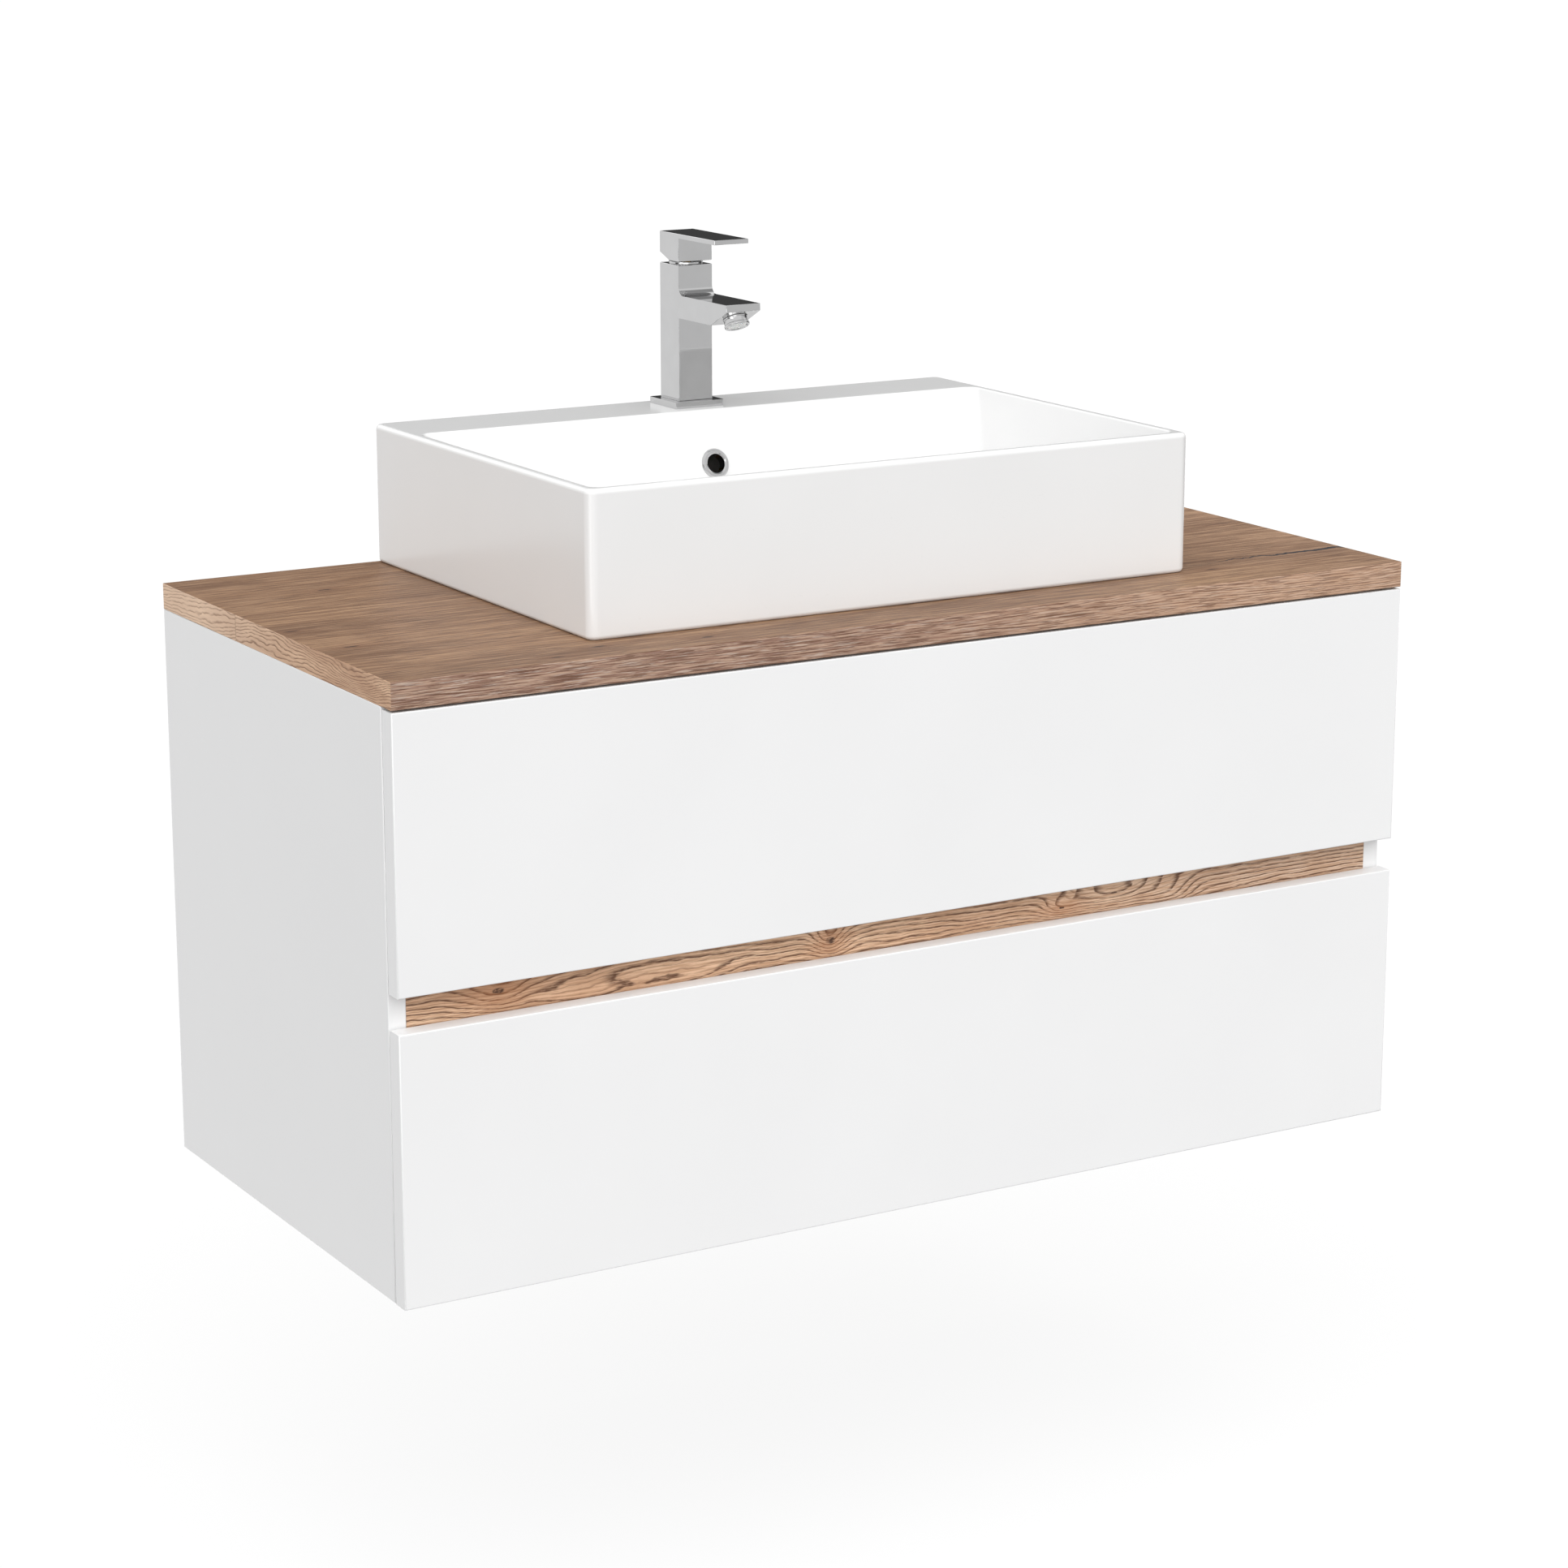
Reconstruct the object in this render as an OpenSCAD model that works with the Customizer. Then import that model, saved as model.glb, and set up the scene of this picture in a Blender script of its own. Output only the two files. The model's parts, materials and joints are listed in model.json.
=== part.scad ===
// Wall-hung vanity unit: a two-drawer cabinet, an oak worktop, a vessel basin and a single-lever mixer.
// Frame: +Z up, the front faces -Y and the wall is the plane Y = 0. The origin lies on the wall,
// midway between the two wall screws. Modules count heights from the cabinet's bottom edge,
// and in_frame() moves them to that origin.

/* [Cabinet] */
// Overall width of cabinet and worktop
cabinet_w = 1000; // [980:5:1020]
// Depth from the wall to the drawer fronts
cabinet_d = 470; // [465:1:475]
// Height of the side panels
carcass_h = 497; // [495:1:500]
// Thickness of the carcass boards
board = 16; // [15:1:17]
// Thickness of the worktop
worktop_t = 23; // [20:1:28]

/* [Drawers] */
// Thickness of the drawer fronts
front_t = 18; // [16:1:19]
// Height of the finger gap between the two fronts
grip_gap = 30; // [24:1:34]
// Gap between the upper front and the worktop
top_gap = 2; // [1:0.5:4]
// Gap between the fronts and the carcass
front_gap = 1.5; // [1.5:0.5:2.5]
// Travel of a drawer, and length of its runners
runner_l = 350; // [340:5:350]

/* [Basin] */
// Outer width of the basin
basin_w = 598; // [580:2:610]
// Outer depth of the basin
basin_d = 413; // [405:1:420]
// Height of the basin above the worktop
basin_h = 125; // [120:1:130]
// Thickness of the ceramic wall
wall_t = 9; // [8:0.5:10]
// Depth of the tap ledge behind the bowl
ledge_d = 77; // [74:1:80]
// How far the bowl's walls lean in from rim to floor
bowl_lean = 34; // [30:1:36]
// Distance of the basin to the right of the cabinet's middle
basin_x = 4; // [-5:1:5]

/* [Mixer] */
// Side of the square column
column_w = 35; // [33:1:36]
// Height of the column above the ledge
column_h = 130; // [125:1:135]
// Reach of the spout in front of the column
spout_reach = 88; // [80:1:95]
// Length of the lever from front to back
lever_l = 102; // [95:1:110]

/* [Hidden] */
$fn = 48;

// Cabinet
half_w = cabinet_w / 2;
inner_x = half_w - board;
front_y = -cabinet_d;
front_back_y = front_y + front_t;
carcass_y = front_back_y + front_gap;
fix_z = 445;
fix_x = 455;
fix_hole_d = 6.5;
front_h = (carcass_h - grip_gap - top_gap) / 2;
strip_z = front_h + grip_gap / 2;
strip_h = 70;
rail_recess = 20;
rail_h = 100;
front_rail_d = 80;
low_rail_h = 80;

// Drawer boxes: height of the bottom edge, height of the sides, height of the runner's middle
upper_box = [297, 128, 340];
lower_box = [30, 160, 80];
box_back_y = -62;
box_side_t = 12;
runner_t = 13;
box_x = inner_x - runner_t;
box_in_x = box_x - box_side_t;
bottom_t = 6;
groove = 6;
groove_up = 8;
cutout_x = 95;
cutout_front_y = -330;
guard_x = [basin_x - cutout_x - box_side_t, basin_x + cutout_x + box_side_t];
back_ys = [box_back_y - box_side_t, box_back_y];

// Runners, in a section of [distance from the side panel, height from the middle]
runner_y = carcass_y + 4.5;
sheet_t = 1.2;
outer_member = [0, 9, 22.5];
middle_member = [2.2, 7.2, 17.7];
inner_member = [4.6, 8.4, 12.9];
cage_t = 0.8;
cage_l = 150;
ball_r = 1.7;
ball_pitch = 20;
outer_balls = [5.5, 19.5];
inner_balls = [7, 14.7];
slack = 0.1;
screw_ys = [runner_y + 26, runner_y + 175, runner_y + 326];

// Fittings between boards: [cam axis, y, z, face]
cam_x = inner_x - 24;
cam_d = 15;
cam_t = 12.5;
bolt_d = 7;
bolt_in = 10;
clear = 0.2;
running = 0.16;
board_cams = [
    ["z", -380, board / 2, 1], ["z", -90, board / 2, 1],
    ["z", -410, carcass_h - board / 2, -1],
    ["y", carcass_y + board / 2, strip_z, 1],
    ["y", -rail_recess - board / 2, carcass_h - rail_h + 22, -1],
    ["y", -rail_recess - board / 2, board + 40, -1]
];
dowel_d = 8;
dowel_l = 30;
board_dowels = [
    [-340, board / 2], [-130, board / 2], [-385, carcass_h - board / 2],
    [carcass_y + board / 2, strip_z + 22], [carcass_y + board / 2, strip_z - 22],
    [-rail_recess - board / 2, board + 16], [-rail_recess - board / 2, board + 64]
];

// Basin
worktop_z = carcass_h;
basin_z = worktop_z + worktop_t;
rim_z = basin_z + basin_h;
bowl_depth = 105;
floor_z = rim_z - bowl_depth;
ledge_t = 12;
bowl_back_y = -ledge_d;
bowl_front_y = -basin_d + wall_t;
bowl_mid_y = (bowl_front_y + bowl_back_y) / 2;
bowl_w = basin_w - 2 * wall_t;
bowl_d = bowl_back_y - bowl_front_y;
lean_angle = atan(bowl_lean / bowl_depth);
overflow_z = 597;
overflow_y = bowl_back_y - (rim_z - overflow_z) * bowl_lean / bowl_depth;
drain_y = bowl_mid_y;
drain_d = 46;
boss_z = basin_z + 4;
tap_hole_d = 35;
tap_y = -39;

// Waste and trap
plug_lift = 8;
plug_stem_d = 8;
tail_z = 470;
outlet_z = 345;
pipe_d = 32;
pipe_in_d = 29;
bottle_d = 60;
bottle_top_z = 380;
wall_depth = 30;

// Mixer
plate_w = 50;
plate_t = 6;
plate_z = rim_z + plate_t;
column_top = rim_z + column_h;
column_front = tap_y - column_w / 2;
column_back = tap_y + column_w / 2;
spout_top = rim_z + 103;
spout_h = 21;
spout_lip = 6.5;
spout_tip = column_front - spout_reach;
chamfer_run = 29;
chamfer_angle = atan((spout_h - spout_lip) / chamfer_run);
aerator_y = spout_tip + chamfer_run / 2;
aerator_z = spout_top - (spout_h + spout_lip) / 2;
lever_top = column_top + 28.7;
lever_t = 4.2;
lever_bottom = column_top + 3.3;
pivot_z = column_top - 5;
rotor_d = 16;
pin_d = 2.5;

// ---------- helpers ----------

module in_frame() { translate([0, 0, -fix_z]) children(); }

// A box given by its two corners
module block(low, high) { translate(low) cube(high - low); }

module both_sides() {
    children();
    mirror([1, 0, 0]) children();
}

module rounded_rect(w, d, r) {
    square([w - 2 * r, d], center = true);
    square([w, d - 2 * r], center = true);
    for (x = [-1, 1], y = [-1, 1])
        translate([x * (w / 2 - r), y * (d / 2 - r)]) circle(r);
}

// A profile drawn as [y, z], drawn out sideways to a width of w
module side_profile(w) { rotate([90, 0, 90]) linear_extrude(w, center = true) children(); }

// A profile drawn as [distance from the right side panel, height], drawn out along the runner
module runner_profile(z, length = runner_l, start = 0) {
    translate([inner_x, runner_y + start, z]) rotate([90, 0, 180]) linear_extrude(length) children();
}

// ---------- carcass ----------

// The cam and its bolt at the right-hand end of a board, enlarged by gap to make their seat
module cam_fitting(c, gap = 0) {
    bolt_from = cam_x + cam_d / 2 + clear - gap;
    translate([bolt_from, c[1], c[2]]) rotate([0, 90, 0])
        cylinder(d = bolt_d + gap, h = inner_x + bolt_in - bolt_from);
    turn = c[0] == "z" ? [0, 0, 0] : [-90, 0, 0];
    translate([cam_x, c[1], c[2]]) rotate(turn)
        translate([0, 0, c[3] > 0 ? board / 2 - cam_t - gap : -board / 2 - gap])
            cylinder(d = cam_d + gap, h = cam_t + 2 * gap);
}

module dowel(p, gap = 0) {
    translate([inner_x - dowel_l + bolt_in - gap, p[0], p[1]]) rotate([0, 90, 0])
        cylinder(d = dowel_d + gap, h = dowel_l + 2 * gap);
}

module joint_seats() {
    both_sides() {
        for (c = board_cams) cam_fitting(c, clear);
        for (p = board_dowels) dowel(p, clear);
    }
}

module runner_screw(y, z, gap = 0) {
    translate([inner_x - sheet_t - gap, y, z]) rotate([0, 90, 0]) {
        cylinder(d = 7 + gap, h = 2 + gap);
        cylinder(d = 3.5 + gap, h = 13 + gap);
    }
}

module all_runner_screws(gap = 0) {
    for (y = screw_ys, b = [upper_box, lower_box]) runner_screw(y, b[2], gap);
}

module worktop_screw(x, gap = 0) {
    translate([x, carcass_y + front_rail_d / 2, worktop_z - board]) {
        translate([0, 0, -2]) cylinder(d = 8 + gap, h = 2);
        translate([0, 0, -1]) cylinder(d = 4 + gap, h = board + 16 + gap);
    }
}

module worktop_screws(gap = 0) {
    for (x = [-0.35, 0, 0.35]) worktop_screw(x * cabinet_w, gap);
}

module side_panel() {
    color("whitesmoke") difference() {
        block([inner_x, carcass_y, 0], [half_w, 0, carcass_h]);
        joint_seats();
        all_runner_screws(clear);
    }
}

module side_panel_left() { mirror([1, 0, 0]) side_panel(); }

module side_panel_right() { side_panel(); }

module bottom_panel() {
    color("whitesmoke") difference() {
        block([-inner_x, carcass_y, 0], [inner_x, 0, board]);
        joint_seats();
    }
}

module front_rail() {
    color("whitesmoke") difference() {
        block([-inner_x, carcass_y, carcass_h - board],
              [inner_x, carcass_y + front_rail_d, carcass_h]);
        joint_seats();
        worktop_screws(clear);
    }
}

module back_rail_top() {
    y = -rail_recess;
    color("whitesmoke") difference() {
        block([-inner_x, y - board, carcass_h - rail_h], [inner_x, y, carcass_h]);
        joint_seats();
        both_sides() block([inner_x - 40, y - board - 1, fix_z - 16], [inner_x + 1, y + 1, fix_z + 44]);
    }
}

module back_rail_bottom() {
    y = -rail_recess;
    color("whitesmoke") difference() {
        block([-inner_x, y - board, board], [inner_x, y, board + low_rail_h]);
        joint_seats();
    }
}

module grip_strip() {
    color("burlywood") difference() {
        block([-inner_x, carcass_y, strip_z - strip_h / 2],
              [inner_x, carcass_y + board, strip_z + strip_h / 2]);
        joint_seats();
    }
}

module worktop() {
    color("peru") difference() {
        block([-half_w, front_y, worktop_z], [half_w, 0, basin_z]);
        translate([basin_x, drain_y, worktop_z - 1]) cylinder(d = 76, h = worktop_t + 2);
        translate([basin_x, tap_y - 6, worktop_z - 1]) cylinder(d = 65, h = worktop_t + 2);
        worktop_screws(clear);
    }
}

module panel_fasteners() {
    color("silver") both_sides() for (c = board_cams) cam_fitting(c);
    color("burlywood") both_sides() for (p = board_dowels) dowel(p);
}

module cabinet_screws() {
    color("silver") {
        worktop_screws();
        both_sides() {
            all_runner_screws();
            hanger_screws();
        }
    }
}

module front_bumpers() {
    bumper_t = front_gap - 0.1;
    color("white") both_sides()
        for (z = [12, front_h - 10, front_h + grip_gap + 10, carcass_h - 12])
            translate([half_w - board / 2, carcass_y, z]) rotate([90, 0, 0]) cylinder(d = 8, h = bumper_t);
}

// ---------- wall suspension ----------

hook_x = [inner_x - 13, inner_x - 3];
hook_z = fix_z + 26;
hook_h = 8;
hanger_screw_x = inner_x - 8;
hanger_screw_zs = [fix_z + 4, hook_z + hook_h / 2];
housing_y = [-78, -rail_recess - board - 1];

module hanger_housings() {
    color("white") both_sides() difference() {
        block([inner_x - board, housing_y[0], fix_z - 9], [inner_x, housing_y[1], fix_z + 43]);
        block([hook_x[0] - clear, housing_y[0] + board, hook_z - clear],
              [hook_x[1] + clear, housing_y[1] + 1, hook_z + hook_h + clear]);
        for (z = hanger_screw_zs)
            translate([hanger_screw_x, housing_y[0] - 1, z]) rotate([-90, 0, 0])
                cylinder(d = 6 + clear, h = board + 2);
    }
}

module hanger_hooks() {
    color("silver") both_sides() {
        block([hook_x[0], housing_y[0] + board + clear, hook_z], [hook_x[1], -2.2, hook_z + hook_h]);
        block([hook_x[0], -5.4, hook_z - 11], [hook_x[1], -2.2, hook_z]);
    }
}

// The two screws that move a hook in and out, and up and down
module hanger_screws() {
    for (z = hanger_screw_zs)
        translate([hanger_screw_x, housing_y[0] - 1.5, z]) rotate([-90, 0, 0]) difference() {
            cylinder(d = 6, h = board + 1);
            translate([0, 0, -1]) cylinder(d = 3.5, h = 3, $fn = 6);
        }
}

module wall_plates() {
    lip = [[0, -15], [0, 12], [-6, 12], [-6, 26], [-8, 26], [-8, 10], [-2, 10], [-2, -15]];
    color("silver") both_sides() difference() {
        translate([inner_x - 23, 0, fix_z]) side_profile(44) polygon(lip);
        translate([fix_x, 1, fix_z]) rotate([90, 0, 0]) cylinder(d = fix_hole_d, h = 4);
    }
}

// ---------- basin ----------

// The bowl's hollow
module bowl_hollow() {
    translate([basin_x, bowl_mid_y, 0]) hull() {
        translate([0, 0, rim_z]) linear_extrude(1) rounded_rect(bowl_w, bowl_d, 12, $fn = 32);
        translate([0, 0, floor_z]) linear_extrude(1)
            rounded_rect(bowl_w - 2 * bowl_lean, bowl_d - 2 * bowl_lean, 24, $fn = 32);
    }
}

// The outside of the bowl, which is hidden inside the basin: a block whose sides lean in
module bowl_shell() {
    low = floor_z - wall_t;
    module leaning(half, length) {
        bottom = half - bowl_lean;
        rotate([90, 0, 0]) linear_extrude(length, center = true)
            polygon([[-bottom, low], [bottom, low], [half, rim_z - 1], [-half, rim_z - 1]]);
    }
    translate([basin_x, bowl_mid_y, 0]) intersection() {
        leaning(bowl_w / 2 + wall_t / 2, basin_d * 2);
        rotate([0, 0, 90]) leaning(bowl_d / 2 + wall_t / 2, basin_w * 2);
    }
}

module basin_plan(inset, r) {
    translate([basin_x, -basin_d / 2]) rounded_rect(basin_w - 2 * inset, basin_d - 2 * inset, r);
}

// Where the overflow's axis meets the bowl's back wall, with +Z pointing into the bowl
module at_overflow() {
    translate([basin_x, overflow_y, overflow_z]) rotate([90 - lean_angle, 0, 0]) children();
}

duct_y = -72;

module basin() {
    color("white") difference() {
        union() {
            difference() {
                translate([0, 0, basin_z]) linear_extrude(basin_h) basin_plan(0, 8);
                translate([0, 0, basin_z - 1]) linear_extrude(basin_h - ledge_t + 1) basin_plan(wall_t, 4);
            }
            bowl_shell();
            translate([basin_x, drain_y, boss_z]) cylinder(d = 66, h = floor_z - boss_z);
            block([basin_x - 14, overflow_y - 8, boss_z], [basin_x + 14, duct_y + 13, overflow_z + 14]);
            block([basin_x - 9, drain_y, boss_z], [basin_x + 9, duct_y + 10, boss_z + 13]);
        }
        bowl_hollow();
        translate([basin_x, drain_y, boss_z - 1]) cylinder(d = drain_d, h = floor_z - boss_z + 3);
        translate([basin_x, tap_y, rim_z - ledge_t - 1]) cylinder(d = tap_hole_d, h = ledge_t + 2);
        at_overflow() translate([0, 0, -20]) cylinder(d = 22, h = 22);
        translate([basin_x, duct_y, boss_z + 1.5]) cylinder(d = 14, h = overflow_z - boss_z);
        translate([basin_x, duct_y, boss_z + 6.5]) rotate([90, 0, 0]) cylinder(d = 8, h = duct_y - drain_y);
    }
}

module overflow_ring() {
    color("silver") at_overflow() difference() {
        union() {
            cylinder(d1 = 28, d2 = 25, h = 2.2);
            translate([0, 0, -8]) cylinder(d = 21.6, h = 9);
        }
        translate([0, 0, -9]) cylinder(d = 17.5, h = 14);
    }
}

// ---------- waste and trap ----------

module at_drain(z) { translate([basin_x, drain_y, z]) children(); }

module waste_body() {
    color("silver") difference() {
        union() {
            at_drain(floor_z) cylinder(d1 = 63, d2 = 61, h = 3);
            at_drain(tail_z) cylinder(d = 44, h = floor_z - tail_z + 1);
        }
        at_drain(tail_z - 1) cylinder(d = 36, h = 30);
        at_drain(tail_z + 41) cylinder(d = 36, h = 40);
        at_drain(tail_z + 24) difference() {
            cylinder(d = 36, h = 20);
            cylinder(d = 14, h = 20);
            translate([-20, -2, 6]) cube([40, 4, 6]);
        }
        at_drain(tail_z) cylinder(d = plug_stem_d + running, h = 60);
        at_drain(boss_z + 2.5) translate([-6, -30, 0]) cube([12, 60, 8]);
    }
}

module waste_plug() {
    top = floor_z + 3 + plug_lift;
    color("silver") at_drain(0) {
        translate([0, 0, top]) cylinder(d = 58, h = 2.5);
        translate([0, 0, top + 2.5]) cylinder(d1 = 58, d2 = 50, h = 2);
        translate([0, 0, top - 51]) cylinder(d = plug_stem_d, h = 52);
    }
}

module waste_gasket() {
    color("dimgray") at_drain(boss_z - 3) difference() {
        cylinder(d = 62, h = 3);
        translate([0, 0, -1]) cylinder(d = 44.4, h = 5);
    }
}

module waste_locknut() {
    color("silver") at_drain(boss_z - 13) difference() {
        cylinder(d = 60, h = 10, $fn = 8);
        translate([0, 0, -1]) cylinder(d = 44.4, h = 12);
    }
}

module trap_inlet_tube() {
    color("silver") at_drain(outlet_z - 23) difference() {
        union() {
            cylinder(d = pipe_d, h = tail_z - outlet_z + 23);
            translate([0, 0, tail_z - outlet_z + 21]) cylinder(d = 40, h = 2);
        }
        translate([0, 0, -1]) cylinder(d = pipe_in_d, h = 200);
    }
}

stub_end = drain_y + 60;

module trap_bottle() {
    color("silver") difference() {
        union() {
            at_drain(270) cylinder(d = bottle_d, h = bottle_top_z - 270);
            at_drain(bottle_top_z - 1) cylinder(d = 44, h = 13);
            translate([basin_x, stub_end, outlet_z]) rotate([90, 0, 0]) cylinder(d = 40, h = 50);
        }
        at_drain(269) cylinder(d = bottle_d - 6, h = bottle_top_z - 4 - 269);
        at_drain(bottle_top_z - 5) cylinder(d = pipe_d + 0.6, h = 30);
        translate([basin_x, stub_end + 1, outlet_z]) rotate([90, 0, 0]) cylinder(d = pipe_d + 0.6, h = 40);
    }
}

module trap_cup() {
    color("silver") difference() {
        at_drain(255) cylinder(d = 66, h = 34);
        at_drain(262) cylinder(d = bottle_d + 0.6, h = 30);
    }
}

// A round slip nut whose mouth faces +Z
module slip_nut() {
    difference() {
        cylinder(d = 52, h = 20);
        translate([0, 0, -1]) cylinder(d = pipe_d + 0.6, h = 30);
        translate([0, 0, 6]) cylinder(d = 44.4, h = 30);
    }
}

module trap_nuts() {
    color("silver") {
        at_drain(tail_z - 10) slip_nut();
        at_drain(bottle_top_z + 22) mirror([0, 0, 1]) slip_nut();
        translate([basin_x, stub_end + 10, outlet_z]) rotate([90, 0, 0]) slip_nut();
    }
}

module trap_outlet_pipe() {
    start = stub_end - 20;
    color("silver") translate([basin_x, start, outlet_z]) rotate([-90, 0, 0]) difference() {
        cylinder(d = pipe_d, h = wall_depth - start);
        translate([0, 0, -1]) cylinder(d = pipe_in_d, h = wall_depth - start + 2);
        // The mark that shows how far the pipe goes into the wall
        translate([0, 0, -start - 1]) difference() {
            cylinder(d = pipe_d + 2, h = 1);
            cylinder(d = pipe_d - 0.6, h = 1);
        }
    }
}

module wall_rosette() {
    color("silver") translate([basin_x, 0, outlet_z]) rotate([90, 0, 0]) difference() {
        union() {
            cylinder(d = 72, h = 2);
            translate([0, 0, 2]) cylinder(d1 = 70, d2 = 46, h = 7);
        }
        translate([0, 0, -1]) cylinder(d = pipe_d + 0.6, h = 12);
    }
}

// ---------- mixer ----------

fillet_r = 8;
inlet_x = 7.5;
inlet_y = tap_y - 5.5;
inlet_d = 9;
inlet_l = 14;
stud_y = tap_y + 9;

module at_tap(z) { translate([basin_x, tap_y, z]) children(); }

module tap_base_plate() {
    color("silver") at_tap(rim_z) difference() {
        linear_extrude(plate_t) rounded_rect(plate_w, plate_w, 1);
        translate([0, 0, -1]) cylinder(d = 30, h = plate_t + 2);
    }
}

module tap_profile() {
    polygon([
        [column_back, plate_z], [column_back, column_top], [column_front, column_top],
        [column_front, spout_top], [spout_tip, spout_top], [spout_tip, spout_top - spout_lip],
        [spout_tip + chamfer_run, spout_top - spout_h], [column_front, spout_top - spout_h],
        [column_front, plate_z]
    ]);
    difference() {
        translate([column_front - fillet_r, spout_top]) square([fillet_r, fillet_r]);
        translate([column_front - fillet_r, spout_top + fillet_r]) circle(fillet_r);
    }
}

// On the middle of the spout's slanted underside, with +Z pointing out of it
module at_aerator() {
    translate([basin_x, aerator_y, aerator_z]) rotate([180 - chamfer_angle, 0, 0]) children();
}

module tap_body() {
    color("silver") difference() {
        translate([basin_x, 0, 0]) side_profile(column_w) tap_profile();
        at_tap(column_top - 33) cylinder(d = 26, h = 34);
        at_aerator() translate([0, 0, -6]) cylinder(d = 20, h = 7);
        translate([basin_x, tap_y - 8, spout_top - 11]) {
            rotate([90, 0, 0]) cylinder(d = 9, h = tap_y - 8 - aerator_y);
            cylinder(d = 8, h = 8);
        }
        for (side = [-1, 1]) translate([basin_x + side * inlet_x, inlet_y, 0]) {
            translate([0, 0, plate_z - 1]) cylinder(d = inlet_d, h = inlet_l + 1);
            translate([0, 0, plate_z]) cylinder(d = 5, h = column_top - 32 - plate_z);
        }
        translate([basin_x, stud_y, plate_z - 1]) cylinder(d = 8 + clear, h = 11);
    }
}

module tap_collar() {
    color("silver") at_tap(column_top) difference() {
        cylinder(d = 31, h = 2.3);
        translate([0, 0, -1]) cylinder(d = 17, h = 5);
    }
}

module tap_cartridge() {
    color("gainsboro") difference() {
        at_tap(column_top - 31) cylinder(d = 25.6, h = 30.8);
        at_tap(column_top - 13.2) cylinder(d = rotor_d + running, h = 14);
    }
}

module tap_rotor() {
    color("ivory") difference() {
        at_tap(column_top - 13) cylinder(d = rotor_d, h = 13);
        at_tap(column_top - 12) translate([-3.2, -6.5, 0]) cube([6.4, 13, 13]);
        at_tap(pivot_z) rotate([0, 90, 0]) cylinder(d = pin_d + 0.06, h = 20, center = true);
    }
}

module tap_stem_pin() {
    color("silver") at_tap(pivot_z) rotate([0, 90, 0]) cylinder(d = pin_d, h = 14, center = true);
}

module tap_stem() {
    color("silver") difference() {
        at_tap(pivot_z - 6) translate([-3, -3, 0]) cube([6, 6, 30]);
        at_tap(pivot_z) rotate([0, 90, 0]) cylinder(d = pin_d + running, h = 20, center = true);
    }
}

module tap_lever() {
    color("silver") difference() {
        translate([basin_x, 0, 0]) side_profile(column_w) polygon([
            [column_back, lever_bottom + 6.3], [column_back, lever_top], [column_back - lever_l, lever_top],
            [column_back - lever_l, lever_top - lever_t], [column_front, lever_top - lever_t],
            [column_front, lever_bottom], [tap_y + 0.3, lever_bottom]
        ]);
        at_tap(lever_bottom - 1) translate([-3.1, -3.1, 0]) cube([6.2, 6.2, 18]);
        at_tap(lever_bottom + 12) rotate([-90, 0, 0]) cylinder(d = 5 + clear, h = column_w);
    }
}

module tap_lever_screw() {
    color("silver") at_tap(lever_bottom + 12) rotate([-90, 0, 0]) difference() {
        translate([0, 0, 3.2]) cylinder(d = 5, h = 13);
        translate([0, 0, 14.2]) cylinder(d = 2.5, h = 3, $fn = 6);
    }
}

module aerator_shell() {
    color("silver") at_aerator() difference() {
        union() {
            translate([0, 0, -5.5]) cylinder(d = 19.8, h = 7);
            cylinder(d = 23, h = 8.5);
        }
        translate([0, 0, -6]) cylinder(d = 17, h = 16);
    }
}

module aerator_insert() {
    color("gainsboro") at_aerator() translate([0, 0, 5]) difference() {
        cylinder(d = 16.8, h = 2.4);
        for (x = [-2:2], y = [-2:2])
            if (x * x + y * y < 7) translate([x * 2.8, y * 2.8, -1]) cylinder(d = 1.7, h = 5, $fn = 16);
    }
}

module tap_stud() {
    color("silver") translate([basin_x, stud_y, rim_z - 60]) cylinder(d = 8, h = 75);
}

module tap_washer() {
    color("silver") at_tap(rim_z - ledge_t - 3) difference() {
        cylinder(d = 46, h = 3);
        translate([-14, -30, -1]) cube([28, 32, 5]);
        translate([0, stud_y - tap_y, -1]) cylinder(d = 8.4, h = 5);
    }
}

module tap_nut() {
    color("silver") translate([basin_x, stud_y, rim_z - ledge_t - 9.6]) difference() {
        cylinder(d = 15, h = 6.5, $fn = 6);
        translate([0, 0, -1]) cylinder(d = 8 + clear, h = 9);
    }
}

// ---------- drawers ----------

front_cam_y = front_back_y + 24;

// Heights of the two fittings that hold a front to each side of its box
function front_cam_zs(box) = [box[0] + 32, box[0] + box[1] - 24];

module front_fitting(z, gap = 0) {
    translate([box_in_x - gap, front_cam_y, z]) rotate([0, 90, 0]) cylinder(d = cam_d + gap, h = 9 + gap);
    translate([box_in_x + 5.5, front_cam_y - cam_d / 2 - clear + gap, z]) rotate([90, 0, 0])
        cylinder(d = 5 + gap, h = front_cam_y - cam_d / 2 - front_back_y + 9 + gap);
}

module box_screw(y, z, gap = 0) {
    translate([box_x + sheet_t + 1.1, y, z]) rotate([0, -90, 0]) {
        cylinder(d = 7 + gap, h = 1.1);
        cylinder(d = 3.5 + gap, h = 11.5 + gap);
    }
}

module box_fasteners(box, gap = 0) {
    both_sides() {
        for (z = front_cam_zs(box)) front_fitting(z, gap);
        for (y = screw_ys) box_screw(y, box[2], gap);
    }
}

module drawer_front(z, box) {
    color("white") difference() {
        block([-half_w, front_y, z], [half_w, front_back_y, z + front_h]);
        box_fasteners(box, clear);
    }
}

module drawer_sides(box) {
    color("whitesmoke") both_sides() difference() {
        block([box_in_x, front_back_y, box[0]], [box_x, box_back_y, box[0] + box[1]]);
        block([box_in_x - 1, front_back_y - 1, box[0] + groove_up],
              [box_in_x + groove, box_back_y + 1, box[0] + groove_up + bottom_t]);
        box_fasteners(box, clear);
    }
}

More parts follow.
